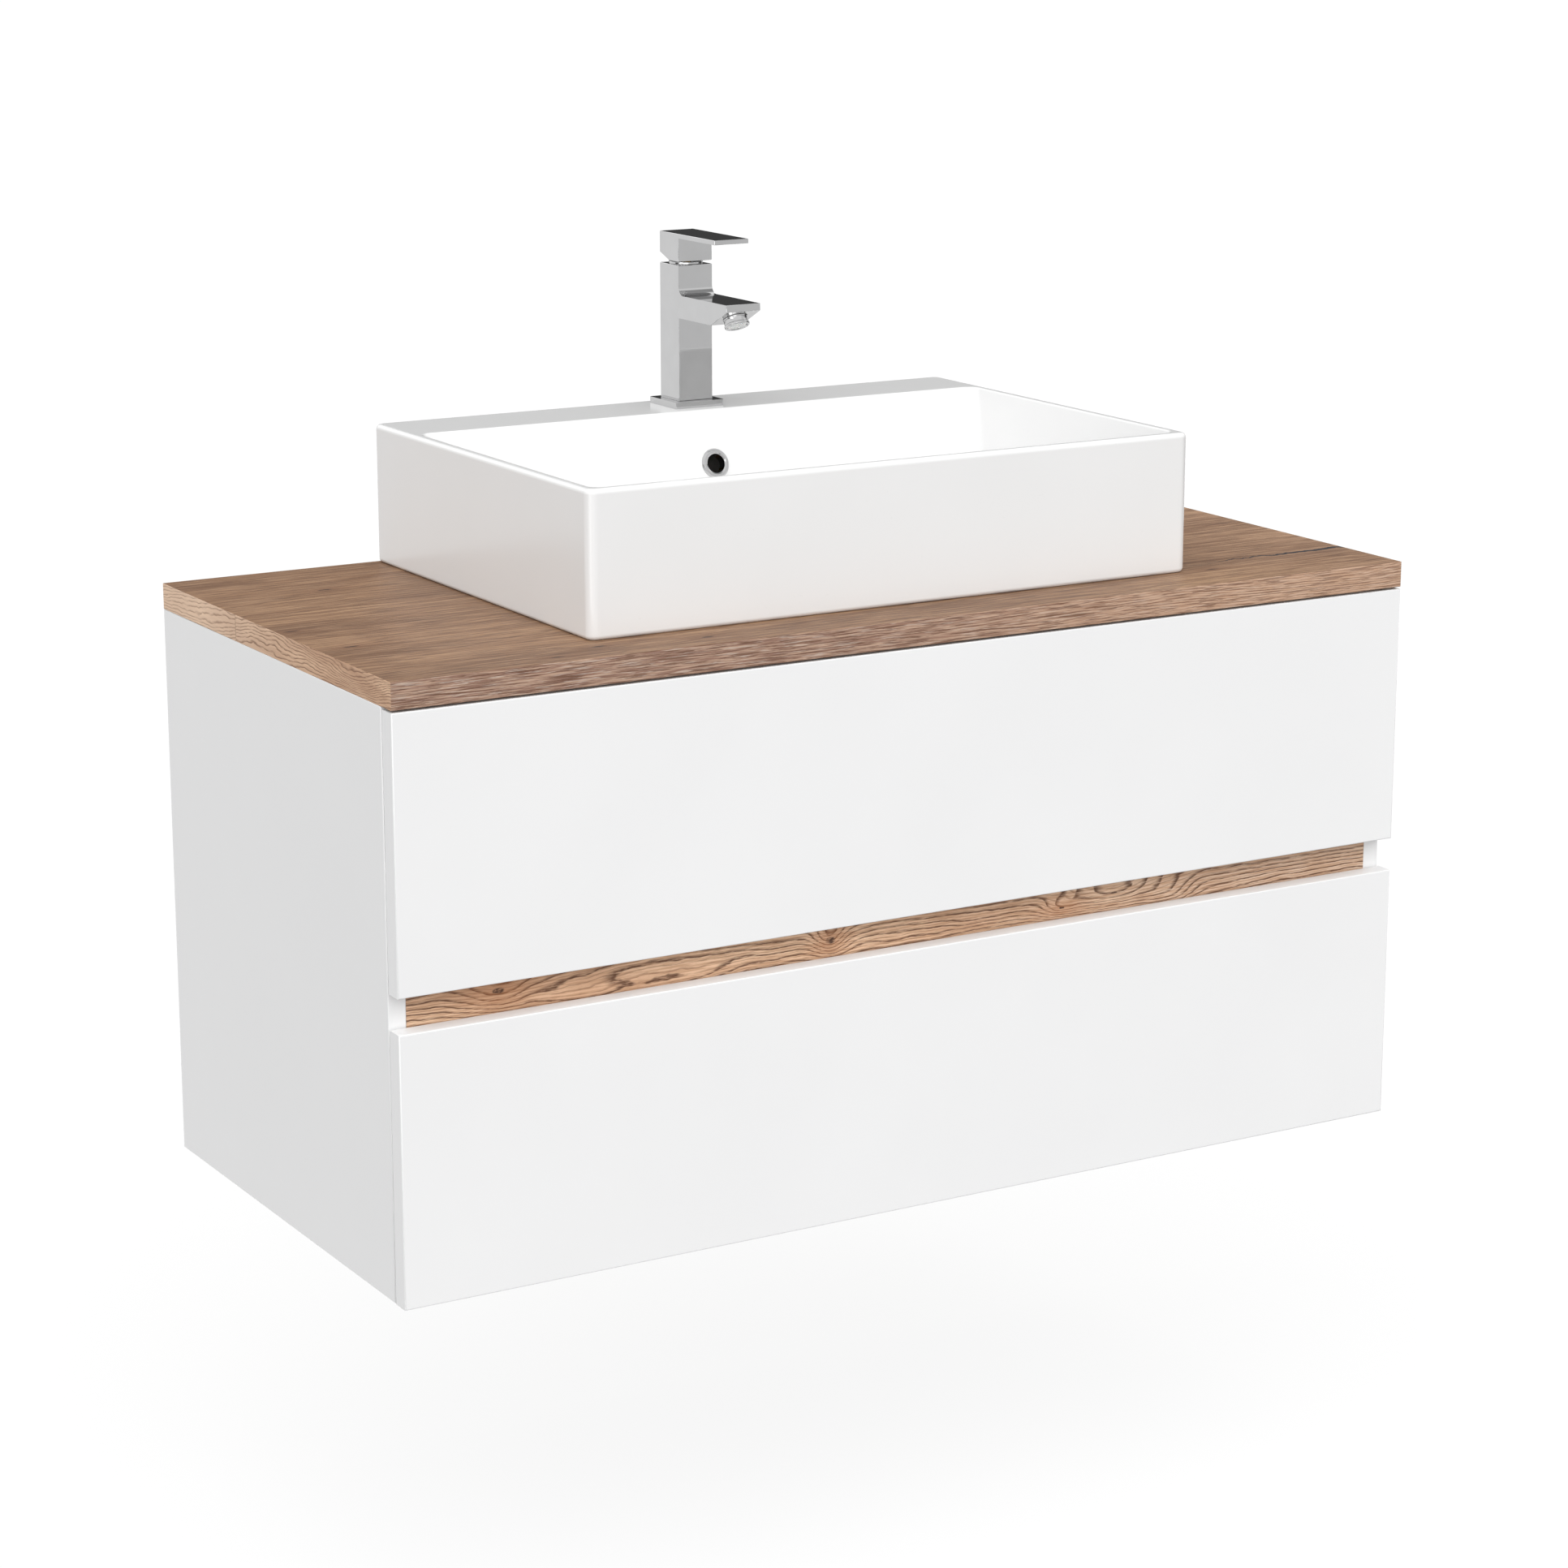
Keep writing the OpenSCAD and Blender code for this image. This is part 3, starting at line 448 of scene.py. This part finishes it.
def white_plastic():
    """Moulded white plastic with a fine spark-eroded grain."""
    f = Finish("white_plastic", Subsurface_Weight=0.05, Subsurface_Scale=0.002)
    at = f.place.outputs["Object"]
    grain = f.noise(at, (1500.0, 1500.0, 1500.0), 2.0)
    flow = f.noise(at, (30.0, 30.0, 90.0), 2.0, 0.5, 0.8)
    f.drive("Base Color", f.ramp(flow, (0.3, srgb(226, 227, 226)), (0.7, srgb(238, 238, 236))))
    f.drive("Roughness", f.span(grain, 0.3, 0.7, 0.38, 0.52))
    f.drive("Normal", f.bump(grain, 0.00001))
    return f.material


def grey_rubber():
    """Soft grey rubber, dusty and dull."""
    f = Finish("grey_rubber", Specular_IOR_Level=0.25)
    at = f.place.outputs["Object"]
    dust = f.noise(at, (160.0, 160.0, 160.0), 4.0, 0.65)
    f.drive("Base Color", f.ramp(dust, (0.35, srgb(66, 67, 69)), (0.75, srgb(98, 99, 100))))
    f.drive("Roughness", f.span(dust, 0.3, 0.7, 0.68, 0.86))
    f.drive("Normal", f.bump(dust, 0.00003))
    return f.material


def painted_shade_channel():
    """The unglazed clay inside the overflow, coloured dark grey as painted shade for the shadow in the
    bore.
    """
    f = Finish("painted_shade_channel", Specular_IOR_Level=0.2)
    grit = f.noise(f.place.outputs["Object"], (900.0, 900.0, 900.0), 3.0)
    # painted shade: this dark grey stands for the shadow inside the bores, not for the clay's own colour
    f.drive("Base Color", f.ramp(grit, (0.3, srgb(38, 40, 42)), (0.7, srgb(52, 54, 56))))
    f.drive("Roughness", f.span(grit, 0.3, 0.7, 0.7, 0.9))
    f.drive("Normal", f.bump(grit, 0.00004))
    return f.material


FINISHES = {
    "oak_worktop": worktop_oak(), "oak_strip": strip_oak(), "white_lacquer": white_lacquer(),
    "drawer_board": drawer_board(), "glazed_white": glazed_white(), "chrome_plate": chrome_plate(),
    "zinc_steel": zinc_steel(), "bare_brass": bare_brass(), "white_plastic": white_plastic(),
    "grey_rubber": grey_rubber(),
}
# painted shade finish for the cut faces inside the overflow and tap bores
PAINTED_SHADE_CHANNEL = painted_shade_channel()


# ---------- shapes ----------

def slot_of(node):
    """The record's material slot of a CAD node, which its mesh's material is named after."""
    return NODES[node].data.materials[0].name


SLOTS = {node: slot_of(node) for node in NODES}


def shade(made):
    """Smooth shading that keeps flat faces flat and corners crisp."""
    made.data.shade_smooth()
    made.data.set_sharp_from_angle(angle=SHARP)
    weighted = made.modifiers.new("even_normals", "WEIGHTED_NORMAL")
    weighted.keep_sharp = True
    weighted.weight = 80


def shade_planed(made):
    """Flat shading for the wide faces, and smooth shading for the narrow ones that round the corners."""
    made.data.shade_smooth()
    made.data.set_sharp_from_angle(angle=SHARP)
    points = made.data.vertices
    for face in made.data.polygons:
        longest = max((points[a].co - points[b].co).length for a, b in face.edge_keys)
        face.use_smooth = face.area < WIDE * longest


def solid(name, mesh):
    """A new object from a finished bmesh."""
    bmesh.ops.recalc_face_normals(mesh, faces=mesh.faces)
    data = bpy.data.meshes.new(name)
    mesh.to_mesh(data)
    mesh.free()
    made = bpy.data.objects.new(name, data)
    bpy.context.scene.collection.objects.link(made)
    return made


def stand_in(made, node, shading=shade):
    """Finishes made and lets it stand for a CAD node, on the same body."""
    made.data.materials.append(FINISHES[SLOTS[node]])
    shading(made)
    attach(made, NODES[node]["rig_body"])
    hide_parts(node)
    return made


def corner_edges(mesh, shortest, room):
    """The edges of at least that length where two faces meet at a real corner, with room at both ends."""
    found = []
    for edge in mesh.edges:
        if not edge.is_manifold or edge.calc_length() < shortest or edge.calc_face_angle_signed() < CORNER:
            continue
        if all(beside.calc_length() >= room for end in edge.verts for beside in end.link_edges):
            found.append(edge)
    return found


def round_edges(mesh, edges, radius, steps):
    bmesh.ops.bevel(
        mesh, geom=edges, offset=radius, offset_type="OFFSET", segments=steps,
        profile=0.5, affect="EDGES", clamp_overlap=True,
    )


def welded(node):
    """A CAD node's mesh as a bmesh, with its flat faces whole again."""
    mesh = bmesh.new()
    mesh.from_mesh(NODES[node].data)
    bmesh.ops.remove_doubles(mesh, verts=mesh.verts, dist=WELD)
    bmesh.ops.dissolve_limit(mesh, angle_limit=FLAT, verts=mesh.verts, edges=mesh.edges)
    return mesh


def planed(node, radius, shortest=20 * MM, steps=3, room=1.5 * MM, shading=shade_planed):
    """Stands for a CAD node: its own shape with its corners rounded."""
    mesh = welded(node)
    round_edges(mesh, corner_edges(mesh, shortest, room), radius, steps)
    return stand_in(solid("shaped_" + node, mesh), node, shading)


def rounded(corners, steps=6):
    """A path through corners (a, b, radius) with an arc at each one that has a radius."""
    path = []
    for index, (a, b, radius) in enumerate(corners):
        here = Vector((a, b))
        if not radius or index in (0, len(corners) - 1):
            path.append(here)
            continue
        back = (Vector(corners[index - 1][:2]) - here).normalized()
        ahead = (Vector(corners[index + 1][:2]) - here).normalized()
        half = back.angle(ahead) / 2
        centre = here + (back + ahead).normalized() * (radius / math.sin(half))
        start = here + back * (radius / math.tan(half)) - centre
        end = here + ahead * (radius / math.tan(half)) - centre
        sweep = start.angle_signed(end)
        for step in range(steps + 1):
            path.append(centre + Matrix.Rotation(-sweep * step / steps, 2) @ start)
    return path


def skinned(rings, loop=False):
    """A bmesh skin over rings of points, closed by end faces or, in a loop, by its own first ring."""
    mesh = bmesh.new()
    rows = [[mesh.verts.new(point) for point in ring] for ring in rings]
    pairs = list(zip(rows, rows[1:] + rows[:1])) if loop else list(zip(rows, rows[1:]))
    for low, high in pairs:
        for index in range(len(low)):
            after = (index + 1) % len(low)
            mesh.faces.new((low[index], low[after], high[after], high[index]))
    if not loop:
        mesh.faces.new(rows[0])
        mesh.faces.new(rows[-1])
    return mesh


def lathed(profile, place, turns=96, loop=False):
    """A bmesh turned from a path of (radius, height), set in place."""
    angles = [2 * math.pi * step / turns for step in range(turns)]
    rings = [[place @ Vector((r * math.cos(a), r * math.sin(a), h)) for a in angles] for r, h in profile]
    return skinned(rings, loop)


def cut(made, cutter, finish=None):
    """Takes cutter out of made. The cut faces get finish where there is one."""
    if finish:
        cutter.data.materials.append(finish)
    step = made.modifiers.new("cut", "BOOLEAN")
    step.operation = "DIFFERENCE"
    step.solver = "EXACT"
    step.object = cutter
    step.material_mode = "TRANSFER" if finish else "INDEX"
    graph = bpy.context.evaluated_depsgraph_get()
    data = bpy.data.meshes.new_from_object(made.evaluated_get(graph))
    made.modifiers.clear()
    made.data = data
    bpy.data.objects.remove(cutter)


# ---------- the basin ----------

CORNER_STEPS = 10
RIM_Z = BASIN_HIGH.z
BASIN_HALF = Vector((BASIN_HIGH.x - BASIN_LOW.x, BASIN_HIGH.y - BASIN_LOW.y)) / 2
BASIN_MIDDLE = Vector((MIDDLE_X, (BASIN_LOW.y + BASIN_HIGH.y) / 2))
WALL = 9 * MM
LEDGE = 77 * MM
BOWL_DEPTH = 105 * MM
BOWL_LEAN = 34 * MM
FLOOR_Z = RIM_Z - BOWL_DEPTH
FLOOR_UP = 2 * MM
OUTER_CORNER = 9 * MM
RIM_RADIUS = 2.4 * MM
SINK_RADIUS, DRAIN_RADIUS, BOSS_RADIUS = 34 * MM, 23 * MM, 33 * MM
BOSS_Z = FLOOR_Z - 16 * MM
ROOF_Z = RIM_Z - 24 * MM
ROOF_RISE = 12 * MM
OVERFLOW_DROP = 48 * MM
OVERFLOW_BORE, TAP_BORE = 11 * MM, 17.5 * MM
BOWL_HALF = Vector((BASIN_HALF.x - WALL, BASIN_HALF.y - (WALL + LEDGE) / 2))
BOWL_MIDDLE = Vector((MIDDLE_X, BASIN_LOW.y + WALL + BOWL_HALF.y))
LEAN_ANGLE = math.atan(BOWL_LEAN / BOWL_DEPTH)


def plan_ring(middle, half, inset, radius, z, rise=0.0):
    """One level of the basin: a rectangle with round corners, inset from half. rise lifts its back."""
    wide = half - Vector((inset, inset))
    radius = max(radius, 0.5 * MM)
    ring = []
    for quarter, (side, back) in enumerate(((1, 1), (-1, 1), (-1, -1), (1, -1))):
        for step in range(CORNER_STEPS + 1):
            turn = math.pi / 2 * (quarter + step / CORNER_STEPS)
            x = middle.x + side * (wide.x - radius) + radius * math.cos(turn)
            y = middle.y + back * (wide.y - radius) + radius * math.sin(turn)
            ring.append(Vector((x, y, z + (rise if back > 0 else 0.0))))
    return ring


def drain_ring(radius, z):
    return plan_ring(BOWL_MIDDLE, Vector((radius, radius)), 0.0, radius, z)


def basin_rings():
    """The basin's skin: up the outside, over the rim, down the bowl, through the drain and back."""
    rings = []
    outside = rounded([
        (WALL, BASIN_LOW.z, 0), (0, BASIN_LOW.z, 4 * MM), (0, RIM_Z, 4.5 * MM), (8 * MM, RIM_Z, 0),
    ], 8)
    for inset, z in outside[:-1]:
        rings.append(plan_ring(BASIN_MIDDLE, BASIN_HALF, inset, OUTER_CORNER - inset, z))
    low_inset = BOWL_LEAN * (BOWL_DEPTH - FLOOR_UP) / BOWL_DEPTH
    inside = rounded([
        (-3 * MM, RIM_Z, 0), (0, RIM_Z, RIM_RADIUS), (low_inset, FLOOR_Z + FLOOR_UP, 20 * MM),
        (low_inset + 40 * MM, FLOOR_Z + FLOOR_UP, 0),
    ], 8)
    for inset, z in inside[1:]:
        corner = 12 * MM + 0.4 * (RIM_Z - z)
        rings.append(plan_ring(BOWL_MIDDLE, BOWL_HALF, inset, corner, z))
    drain = [
        (SINK_RADIUS, FLOOR_Z), (DRAIN_RADIUS, FLOOR_Z), (DRAIN_RADIUS, BOSS_Z),
        (BOSS_RADIUS, BOSS_Z), (BOSS_RADIUS, FLOOR_Z - WALL),
    ]
    for radius, z in drain:
        rings.append(drain_ring(radius, z))
    rings.append(plan_ring(BOWL_MIDDLE, BOWL_HALF, BOWL_LEAN - WALL / 2, 24 * MM, FLOOR_Z - WALL))
    rings.append(plan_ring(BOWL_MIDDLE, BOWL_HALF, RIM_RADIUS, 12 * MM, ROOF_Z, ROOF_RISE))
    rings.append(plan_ring(BASIN_MIDDLE, BASIN_HALF, WALL, 4 * MM, ROOF_Z, ROOF_RISE))
    return rings


def overflow_place():
    """The overflow's frame: on the bowl's back wall, with +Z into the bowl."""
    z = RIM_Z - OVERFLOW_DROP
    y = BASIN_HIGH.y - LEDGE - (RIM_Z - z) * BOWL_LEAN / BOWL_DEPTH
    lean = Matrix.Rotation(math.pi / 2 - LEAN_ANGLE, 4, "X")
    return Matrix.Translation((MIDDLE_X, y, z)) @ lean


def make_basin():
    made = solid("basin_glazed_shell", skinned(basin_rings(), loop=True))
    made.data.materials.append(FINISHES["glazed_white"])
    # The bores' cut faces take the dark painted-shade finish.
    bore = [(OVERFLOW_BORE, -24 * MM), (OVERFLOW_BORE, 4 * MM)]
    cut(made, solid("overflow_cutter", lathed(bore, overflow_place())), PAINTED_SHADE_CHANNEL)
    tap_y = (COLUMN_LOW.y + COLUMN_HIGH.y) / 2
    tap_hole = Matrix.Translation((MIDDLE_X, tap_y, RIM_Z))
    bore = [(TAP_BORE, -16 * MM), (TAP_BORE, 4 * MM)]
    cut(made, solid("tap_hole_cutter", lathed(bore, tap_hole)), PAINTED_SHADE_CHANNEL)
    shade(made)
    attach(made, "cabinet")
    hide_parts("basin")


# ---------- turned pieces ----------

def scaled(corners):
    """Corners in millimetres as corners in metres."""
    return [(a * MM, b * MM, radius * MM) for a, b, radius in corners]


def ring_section(corners, steps=6):
    """A closed section for a ring, rounded at its corners, from corners in millimetres."""
    wrapped = scaled([corners[-1], *corners, corners[0]])
    return rounded(wrapped, steps)[1:-1]


def make_overflow_ring():
    section = ring_section([
        (8.75, -8, 0), (8.75, 1.6, 0.8), (10.2, 2.3, 0.6), (12.4, 2.3, 0.9), (14, 0.05, 0),
        (10.8, 0.05, 0), (10.8, -8, 0),
    ])
    mesh = lathed(section, overflow_place(), loop=True)
    stand_in(solid("overflow_trim", mesh), "overflow_ring")


def make_plug():
    low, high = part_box("waste_plug")
    place = Matrix.Translation(((low.x + high.x) / 2, (low.y + high.y) / 2, high.z))
    height = (high.z - low.z) / MM
    profile = rounded(scaled([
        (0.01, 0, 0), (25, -0.1, 6), (29, -1.7, 1.4), (29, -4.3, 0.5), (27.5, -4.3, 0), (4, -4.3, 0.3),
        (4, -height, 0.6), (0.01, -height, 0),
    ]), 5)
    stand_in(solid("plug_cap", lathed(profile, place)), "waste_plug")


def make_collar():
    low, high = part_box("tap_collar")
    place = Matrix.Translation(((low.x + high.x) / 2, (low.y + high.y) / 2, low.z))
    section = ring_section([(8.5, 0, 0), (8.5, 2.3, 0.3), (15.5, 2.3, 0.7), (15.5, 0, 0.4)])
    stand_in(solid("collar_ring", lathed(section, place, loop=True)), "tap_collar")


def make_aerator():
    """The aerator's sleeve: a smooth collar with a groove and a rolled lip."""
    tip_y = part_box("tap_body")[0].y
    run, drop = 29 * MM, 14.5 * MM
    underside_z = RIM_Z + 82 * MM
    middle = (MIDDLE_X, tip_y + run / 2, underside_z + drop / 2)
    tilt = Matrix.Rotation(math.pi - math.atan(drop / run), 4, "X")
    section = ring_section([
        (8.5, -5.5, 0), (8.5, 7.2, 0.3), (9.4, 8.5, 0.6), (11.0, 8.5, 0.9), (11.5, 7.6, 0.5),
        (11.5, 6.2, 0.3), (11.0, 5.6, 0.3), (11.0, 1.0, 0.3), (11.5, 0.2, 0.2), (9.9, 0.2, 0),
        (9.9, -5.5, 0),
    ], 4)
    mesh = lathed(section, Matrix.Translation(middle) @ tilt, loop=True)
    stand_in(solid("aerator_sleeve", mesh), "aerator_shell")


# ---------- everything ----------

BOARDS = {
    "worktop": 0.5, "side_panel_left": 0.7, "side_panel_right": 0.7, "upper_front": 1.1, "lower_front": 1.1,
    "grip_strip": 0.3, "bottom_panel": 0.4, "front_rail": 0.4, "back_rail_top": 0.4,
    "back_rail_bottom": 0.4, "upper_sides": 0.5, "upper_bottom": 0.3, "upper_backs": 0.5,
    "trap_guard": 0.5, "lower_sides": 0.5, "lower_bottom": 0.3, "lower_back": 0.5, "hanger_housings": 0.8,
}
TURNED = {
    "trap_bottle": 0.6, "trap_cup": 0.8, "trap_inlet_tube": 0.4, "trap_nuts": 0.6, "trap_outlet_pipe": 0.4,
    "wall_rosette": 0.6, "waste_body": 0.4, "waste_locknut": 0.5, "waste_gasket": 0.4,
    "tap_nut": 0.4, "tap_washer": 0.3,
}

for node in NODES:
    NODES[node].data.materials[0] = FINISHES[SLOTS[node]]
for node, radius in BOARDS.items():
    planed(node, radius * MM)
for node, radius in TURNED.items():
    planed(node, radius * MM, shortest=0.0, steps=2, room=0.0, shading=shade)
planed("tap_body", 0.5 * MM, shortest=5 * MM, steps=4)
planed("tap_lever", 0.45 * MM, shortest=3 * MM, steps=4)
planed("tap_base_plate", 0.5 * MM, shortest=3 * MM)
make_basin()
make_overflow_ring()
make_plug()
make_collar()
make_aerator()


# ---------- the studio ----------

# The white studio, from behind, round and in front: (direction, inner, outer degrees, brightness).
# Each later one covers the ones before it, within its own inner angle
BELOW = 0.35
LIT_BY = [
    ((0.0, 0.0, 1.0), 80, 100, 0.66),
    ((-0.33, -0.67, 0.67), 20, 60, 2.25),
]
AROUND = 0.98
REFLECTED = [
    ((0.0, 0.0, 1.0), 30, 70, 1.00),
    ((0.49, -0.84, -0.15), 22, 40, 0.77),
    ((-0.49, -0.84, 0.0), 10, 24, 2.2),
    ((-0.84, -0.50, -0.14), 8, 16, 4.4),
    ((-1.0, 0.05, -0.15), 8, 16, 0.10),
    ((-0.22, 0.85, 0.46), 8, 18, 2.2),
    ((0.49, -0.22, 0.82), 12, 30, 0.38),
    ((0.49, 0.60, 0.62), 5, 14, 1.5),
    ((1.0, 0.0, -0.10), 14, 30, 0.09),
    ((0.50, 0.84, 0.18), 20, 27, 0.058),
]


class Sky:
    """The surroundings' node tree."""

    def __init__(self):
        self.world = bpy.data.worlds.new("studio")
        self.world.use_nodes = True
        self.tree = self.world.node_tree
        self.tree.nodes.clear()
        self.towards = self.new("ShaderNodeTexCoord").outputs["Generated"]

    def new(self, kind, inputs=None, **settings):
        made = self.tree.nodes.new(kind)
        for key, value in settings.items():
            setattr(made, key, value)
        for key, value in (inputs or {}).items():
            if isinstance(value, bpy.types.NodeSocket):
                self.tree.links.new(value, made.inputs[key])
            else:
                made.inputs[key].default_value = value
        return made

    def lobe(self, direction, inner, outer):
        """1 within inner degrees of a direction, falling to 0 at outer degrees."""
        inputs = {0: self.towards, 1: Vector(direction).normalized()}
        facing = self.new("ShaderNodeVectorMath", inputs, operation="DOT_PRODUCT").outputs["Value"]
        near, far = math.cos(math.radians(inner)), math.cos(math.radians(outer))
        inputs = {"Value": facing, "From Min": far, "From Max": near}
        return self.new("ShaderNodeMapRange", inputs, interpolation_type="SMOOTHSTEP").outputs[0]

    def layered(self, level, lobes):
        """White light of that level, with the lobes laid over it."""
        for direction, inner, outer, brightness in lobes:
            inputs = {0: self.lobe(direction, inner, outer), 2: level, 3: brightness}
            level = self.new("ShaderNodeMix", inputs, data_type="FLOAT").outputs[0]
        return self.new("ShaderNodeBackground", {0: (1, 1, 1, 1), 1: level}).outputs[0]

    def either(self, share, first, second):
        return self.new("ShaderNodeMixShader", {0: share, 1: first, 2: second}).outputs[0]


def make_surroundings():
    """A white studio with soft light from the front left and above, and its own cards for reflections."""
    sky = Sky()
    path = sky.new("ShaderNodeLightPath").outputs
    lit = sky.either(path["Is Glossy Ray"], sky.layered(BELOW, LIT_BY), sky.layered(AROUND, REFLECTED))
    sky.new("ShaderNodeOutputWorld", {0: sky.either(path["Is Camera Ray"], lit, sky.layered(1.0, []))})
    bpy.context.scene.world = sky.world


def make_floor():
    """A plain pale floor a little below the cabinet, which hangs on its wall screws."""
    half, below = 30.0, 0.33
    z = CAD_BOX[0].z - below
    mesh = bmesh.new()
    place = Matrix.Translation((0, 0, z))
    bmesh.ops.create_grid(mesh, x_segments=2, y_segments=2, size=half, matrix=place)
    floor = solid("floor", mesh)
    f = Finish("pale_floor", Roughness=0.9, Specular_IOR_Level=0.0)
    f.shader.inputs["Base Color"].default_value = (0.20, 0.20, 0.20, 1)
    f.shader.inputs["Emission Color"].default_value = (1, 1, 1, 1)
    f.shader.inputs["Emission Strength"].default_value = 0.80
    floor.data.materials.append(f.material)
    floor.visible_glossy = False
    floor.visible_diffuse = False


def make_camera():
    """A long lens at the left of the front, a little above the worktop."""
    azimuth, elevation, distance = math.radians(-30.45), math.radians(13.863), 3.570
    aim_offset = Vector((-0.008, -0.0166, -0.0743))
    centre = (CAD_BOX[0] + CAD_BOX[1]) / 2 + aim_offset
    flat = math.cos(elevation)
    back = Vector((math.sin(azimuth) * flat, -math.cos(azimuth) * flat, math.sin(elevation)))
    data = bpy.data.cameras.new("front_left_camera")
    data.sensor_width = 36.0
    data.lens = 91.24
    data.clip_end = 60.0
    camera = bpy.data.objects.new("front_left_camera", data)
    bpy.context.scene.collection.objects.link(camera)
    camera.location = centre + back * distance
    camera.rotation_mode = "QUATERNION"
    camera.rotation_quaternion = (-back).to_track_quat("-Z", "Y")
    bpy.context.scene.camera = camera


make_surroundings()
make_floor()
make_camera()
bpy.context.scene.view_settings.view_transform = "Standard"
